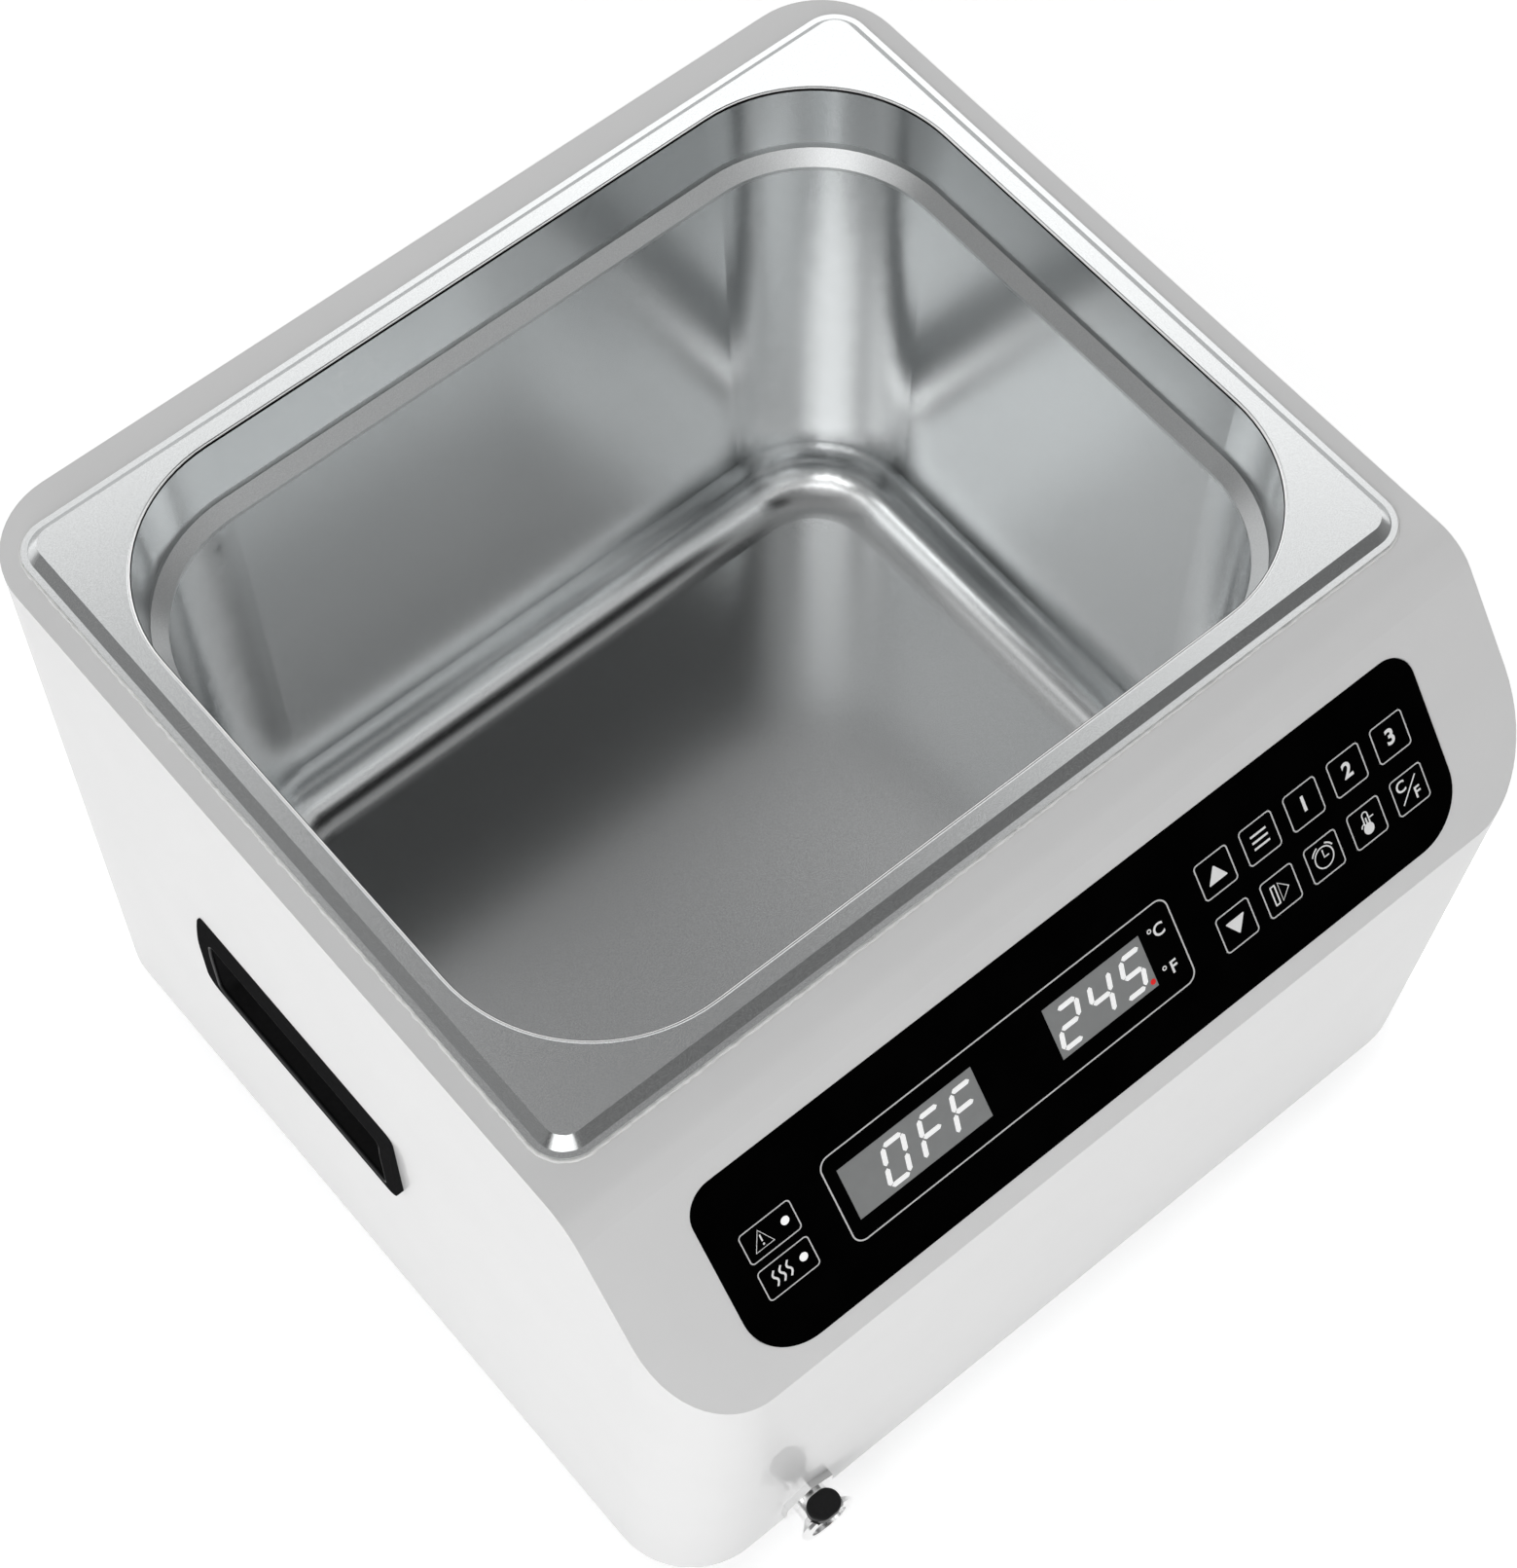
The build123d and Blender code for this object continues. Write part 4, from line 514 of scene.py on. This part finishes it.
chance = random.Random(rim["seed"])
beadOut = rim["beadOut"]
track = roundPan(roundTrack(
    rim["width"] + 2 * beadOut, rim["depth"] + 2 * beadOut,
    rim["radius"] + beadOut, rim["deck"] + rim["beadLift"], rim["beadStep"]))
track = [point + Vector((chance.uniform(-1, 1), chance.uniform(-1, 1), 0)) * rim["beadShift"] * mm
         for point in track]
bead = tube(track, rim["bead"] * mm, [1 + chance.uniform(-1, 1) * rim["beadSwell"] for point in track])
bead.name = "lip_bead"
bead.data.materials.append(finishes["silicone"])
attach(bead, "casing")
print("edge and bead done")


# A rolled edge round the mouth of each hand grip's cup, in a lighter black as a painted highlight

grips = {
    "top": 153.0, "roll": 20.0, "proud": 2.5,
    "length": 90.0, "mouthLow": 112.2, "mouthHigh": 143.4, "radius": 3.0,
    "inset": 0.15, "edge": 0.55, "step": 4.0,
}


def gripFace(z):
    # How far the bezel stands out at a height: flat below, rolled back above
    rise = max(z - (grips["top"] - grips["roll"]), 0)
    rollRadius = (grips["roll"] ** 2 + grips["proud"] ** 2) / (2 * grips["proud"])
    return grips["proud"] - rollRadius + math.sqrt(rollRadius ** 2 - rise ** 2)


mouthMiddle = (grips["mouthLow"] + grips["mouthHigh"]) / 2
mouthTrack = roundTrack(
    grips["length"] - 2 * grips["inset"], grips["mouthHigh"] - grips["mouthLow"] - 2 * grips["inset"],
    grips["radius"], 0, grips["step"])
for side, name in ((1, "right"), (-1, "left")):
    lowGrip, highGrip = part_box("handle_" + name)
    outer = highGrip.x if side > 0 else lowGrip.x
    track = []
    for point in mouthTrack:
        z = mouthMiddle + point.y
        x = outer - side * (grips["proud"] - gripFace(z) + grips["edge"]) * mm
        track.append(Vector((x, panMiddle.y + point.x * mm, z * mm)))
    roll = tube(track, grips["edge"] * mm)
    roll.name = "grip_edge_" + name
    roll.data.materials.append(gripEdgePaintedHighlight)
    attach(roll, "casing")
print("grip edges done")


# Printed lines on the film: a frame round the windows and the units, and a box for each lamp

lines = {
    "frameX": (-98.7, 33.4), "frameY": (-16.7, 15.1), "frameRadius": 4.0, "frameLine": 0.5,
    "boxX": (-129.0, -110.4), "boxY": ((0.6, 11.8), (-13.3, -2.1)), "boxRadius": 1.5, "boxLine": 0.4,
}
parts = [outlineBox(lines["frameX"], lines["frameY"], lines["frameRadius"], lines["frameLine"])]
for ys in lines["boxY"]:
    parts.append(outlineBox(lines["boxX"], ys, lines["boxRadius"], lines["boxLine"]))
settle(join(parts, "panel_lines"), "casing", printGrey)


# Printed signs on the film: warning, heat, and the two units

signs = {
    "warningX": -122.75, "warning": [(-3.3, 3.3), (3.3, 3.3), (0, 9.55)], "warningLine": 0.42,
    "warningBar": [(0, 7.9), (0, 5.5)], "warningBarLine": 0.5,
    "warningDot": (4.5, 0.36, 16),  # height, radius, number of sides
    "heatX": (-124.35, -121.85, -119.35), "heatTop": -4.9, "heatFall": 5.4, "heatLine": 0.72,
    "heatWave": [(0.35, 0), (-0.55, 0.3), (0.5, 0.66), (-0.35, 1)],  # shift across, share of the fall
    "unitX": 27.6, "unitY": {"C": 5.9, "F": -8.0}, "unitSize": 6.0, "unitBold": 0.1,
    "ringX": 24.45, "ringUp": 1.6, "ringRadius": 0.62, "ringLine": 0.4,
}
x = signs["warningX"]
dotY, dotRadius, dotSides = signs["warningDot"]
parts = [
    stroke(shifted(signs["warning"], x, 0), signs["warningLine"], closed=True),
    stroke(shifted(signs["warningBar"], x, 0), signs["warningBarLine"]),
    plate(circlePoints(x, dotY, dotRadius, dotSides)),
]
for x in signs["heatX"]:
    wave = [(x + across, signs["heatTop"] - signs["heatFall"] * share) for across, share in signs["heatWave"]]
    parts.append(stroke(wave, signs["heatLine"], smooth=True))
for text, y in signs["unitY"].items():
    parts.append(letter(text, signs["unitX"], y, signs["unitSize"], signs["unitBold"]))
    ring = circlePoints(signs["ringX"], y + signs["ringUp"], signs["ringRadius"])
    parts.append(stroke(ring, signs["ringLine"], closed=True))
settle(join(parts, "panel_signs"), "casing", printWhite)
print("panel print done")


# Lit figures on the two windows

digits = {
    "width": 7.3, "half": 6.5, "slant": 0.21, "y": -1.05,
    "line": 0.86, "tip": 0.8, "gap": 0.32,
    "shown": [  # bars that are lit, left edge of the figure
        ("abcdef", -80.2), ("aefg", -66.7), ("aefg", -54.5),
        ("abdeg", -13.9), ("bcfg", -1.5), ("acdfg", 10.9),
    ],
    "dot": (19.4, -7.75), "dotRadius": 0.95, "dotLift": 0.02,
}


def segment(start, end):
    # A bar with pointed ends from one corner of a figure to the next
    a, b = Vector(start), Vector(end)
    along = (b - a).normalized()
    side = Vector((-along.y, along.x)) * digits["line"]
    a, b = a + along * digits["gap"], b - along * digits["gap"]
    inA, inB = a + along * digits["tip"], b - along * digits["tip"]
    return plate([tuple(point) for point in (a, inA - side, inB - side, b, inB + side, inA + side)])


def figure(shown, x):
    width, up, lean, y = digits["width"], digits["half"], digits["slant"] * digits["half"], digits["y"]
    spots = {
        "topLeft": (x + lean, y + up), "topRight": (x + lean + width, y + up),
        "left": (x, y), "right": (x + width, y),
        "lowLeft": (x - lean, y - up), "lowRight": (x - lean + width, y - up),
    }
    bars = {
        "a": ("topLeft", "topRight"), "b": ("topRight", "right"), "c": ("right", "lowRight"),
        "d": ("lowLeft", "lowRight"), "e": ("left", "lowLeft"), "f": ("topLeft", "left"),
        "g": ("left", "right"),
    }
    return [segment(spots[bars[bar][0]], spots[bars[bar][1]]) for bar in shown]


parts = []
for shown, x in digits["shown"]:
    parts += figure(shown, x)
settle(join(parts, "lit_figures"), "casing", digitWhite, -panel["windowSunk"])
dot = plate(circlePoints(*digits["dot"], digits["dotRadius"]))
dot.name = "lit_point"
settle(dot, "casing", dotRed, digits["dotLift"] - panel["windowSunk"])
print("figures done")


# Signs on the ten keys, each riding on its own key

keys = {
    "x": 51.9, "y": 9.4, "pitchX": 17.86, "pitchY": -20.0, "columns": 5,
    "half": 6.6, "radius": 1.5, "frameLine": 0.45, "line": 0.5, "thickLine": 0.55,
    "triangle": [(-3.75, -2.75), (3.75, -2.75), (0, 2.95)], "triangleCorner": 0.55,
    "menuHalf": 3.1, "menuRows": (2.2, 0, -2.2), "menuLine": 0.8,
    "numberSize": 7.4, "numberBold": 0.2,
    "startBarX": (-3.45, -1.35), "startBarY": (-3.55, 3.55), "startBarRadius": 0.3,
    "startArrow": [(-0.35, -3.3), (3.1, 0), (-0.35, 3.3)],
    "clockDown": 0.05, "clockRadius": 3.55, "clockSteps": 40,
    "clockHands": [(0, 2.6), (0, -0.1), (1.85, -0.1)],
    "clockArcRadius": 4.55, "clockArcStarts": (110, 28), "clockArcSweep": 42, "clockArcSteps": 8,
    "tubeHalf": 1.05, "tubeTop": 3.0, "tubeDown": 0.6, "tubeSteps": 12, "tubeFill": [(0, 2.0), (0, -1.5)],
    "bulbDown": 1.95, "bulbRadius": 1.98, "bulbSteps": 32,
    "leftWave": [(-2.45, -0.75), (-2.0, 0.05), (-1.2, 0.4)], "rightMark": [(1.0, 1.35), (2.95, 1.3)],
    "unitSize": 5.6, "unitBold": 0.08, "unitC": (-2.75, 2.65), "unitF": (2.35, -2.5),
    "unitSlash": [(-3.8, -3.55), (3.5, 3.75)],
}


def triangleSign(x, y, up):
    points = [(across, high * up) for across, high in keys["triangle"]]
    return [plate(shifted(points, x, y), keys["triangleCorner"])]


def menuSign(x, y):
    half = keys["menuHalf"]
    return [stroke([(x - half, y + row), (x + half, y + row)], keys["menuLine"]) for row in keys["menuRows"]]


def numberSign(text, x, y):
    return [letter(text, x, y, keys["numberSize"], keys["numberBold"])]


def startSign(x, y):
    bar = outlineBox([x + across for across in keys["startBarX"]], [y + up for up in keys["startBarY"]],
                     keys["startBarRadius"], keys["line"])
    return [bar, stroke(shifted(keys["startArrow"], x, y), keys["line"], closed=True)]


def clockSign(x, y):
    parts = [
        stroke(circlePoints(x, y - keys["clockDown"], keys["clockRadius"], keys["clockSteps"]),
               keys["line"], closed=True),
        stroke(shifted(keys["clockHands"], x, y), keys["line"]),
    ]
    for start in keys["clockArcStarts"]:
        arc = circlePoints(x, y, keys["clockArcRadius"], keys["clockArcSteps"], start, keys["clockArcSweep"])
        parts.append(stroke(arc, keys["thickLine"]))
    return parts


def warmthSign(x, y):
    # A thermometer: its tube and what fills it, its bulb, and a mark at each side
    half, foot = keys["tubeHalf"], y - keys["tubeDown"]
    arch = circlePoints(x, y + keys["tubeTop"], half, keys["tubeSteps"], 180, -180)
    return [
        stroke([(x - half, foot)] + arch + [(x + half, foot)], keys["line"]),
        stroke(shifted(keys["tubeFill"], x, y), keys["thickLine"]),
        plate(circlePoints(x, y - keys["bulbDown"], keys["bulbRadius"], keys["bulbSteps"])),
        stroke(shifted(keys["leftWave"], x, y), keys["line"], smooth=True),
        stroke(shifted(keys["rightMark"], x, y), keys["line"]),
    ]


def unitSign(x, y):
    (leftX, upC), (rightX, upF) = keys["unitC"], keys["unitF"]
    return [
        letter("C", x + leftX, y + upC, keys["unitSize"], keys["unitBold"]),
        stroke(shifted(keys["unitSlash"], x, y), keys["line"]),
        letter("F", x + rightX, y + upF, keys["unitSize"], keys["unitBold"]),
    ]


keySigns = {
    "key_up": lambda x, y: triangleSign(x, y, 1),
    "key_menu": menuSign,
    "key_one": lambda x, y: numberSign("1", x, y),
    "key_two": lambda x, y: numberSign("2", x, y),
    "key_three": lambda x, y: numberSign("3", x, y),
    "key_down": lambda x, y: triangleSign(x, y, -1),
    "key_start": startSign,
    "key_timer": clockSign,
    "key_temperature": warmthSign,
    "key_units": unitSign,
}
for count, (key, draw) in enumerate(keySigns.items()):
    row, column = divmod(count, keys["columns"])
    x = keys["x"] + column * keys["pitchX"]
    y = keys["y"] + row * keys["pitchY"]
    half = keys["half"]
    outline = outlineBox((x - half, x + half), (y - half, y + half), keys["radius"], keys["frameLine"])
    outline.name = key + "_line"
    settle(outline, key + "_button", printGrey)
    settle(join(draw(x, y), key + "_sign"), key + "_button", printWhite)
print("key signs done")


# Floor

floor = {"size": 5.0, "z": -0.0004, "color": (0.93, 0.93, 0.93), "roughness": 0.8, "lift": 0.5}
allOff()
bpy.ops.mesh.primitive_plane_add(size=floor["size"], location=(0, 0, floor["z"]))
ground = bpy.context.object
ground.name = "floor"
floorFinish = bpy.data.materials.new("floorPale")
floorFinish.use_nodes = True
web = floorFinish.node_tree
shader = web.nodes["Principled BSDF"]
shader.inputs["Base Color"].default_value = (*floor["color"], 1)
shader.inputs["Roughness"].default_value = floor["roughness"]
glow = addNode(web, 'Emission')
rays = addNode(web, 'LightPath')
either = addNode(web, 'Math', operation='MAXIMUM')
amount = addNode(web, 'Math', {1: floor["lift"]}, operation='MULTIPLY')
both = addNode(web, 'AddShader')
web.links.new(rays.outputs["Is Camera Ray"], either.inputs[0])
web.links.new(rays.outputs["Is Glossy Ray"], either.inputs[1])
web.links.new(either.outputs[0], amount.inputs[0])
web.links.new(amount.outputs[0], glow.inputs["Strength"])
web.links.new(shader.outputs[0], both.inputs[0])
web.links.new(glow.outputs[0], both.inputs[1])
web.links.new(both.outputs[0], web.nodes["Material Output"].inputs["Surface"])
ground.data.materials.append(floorFinish)
print("floor laid")
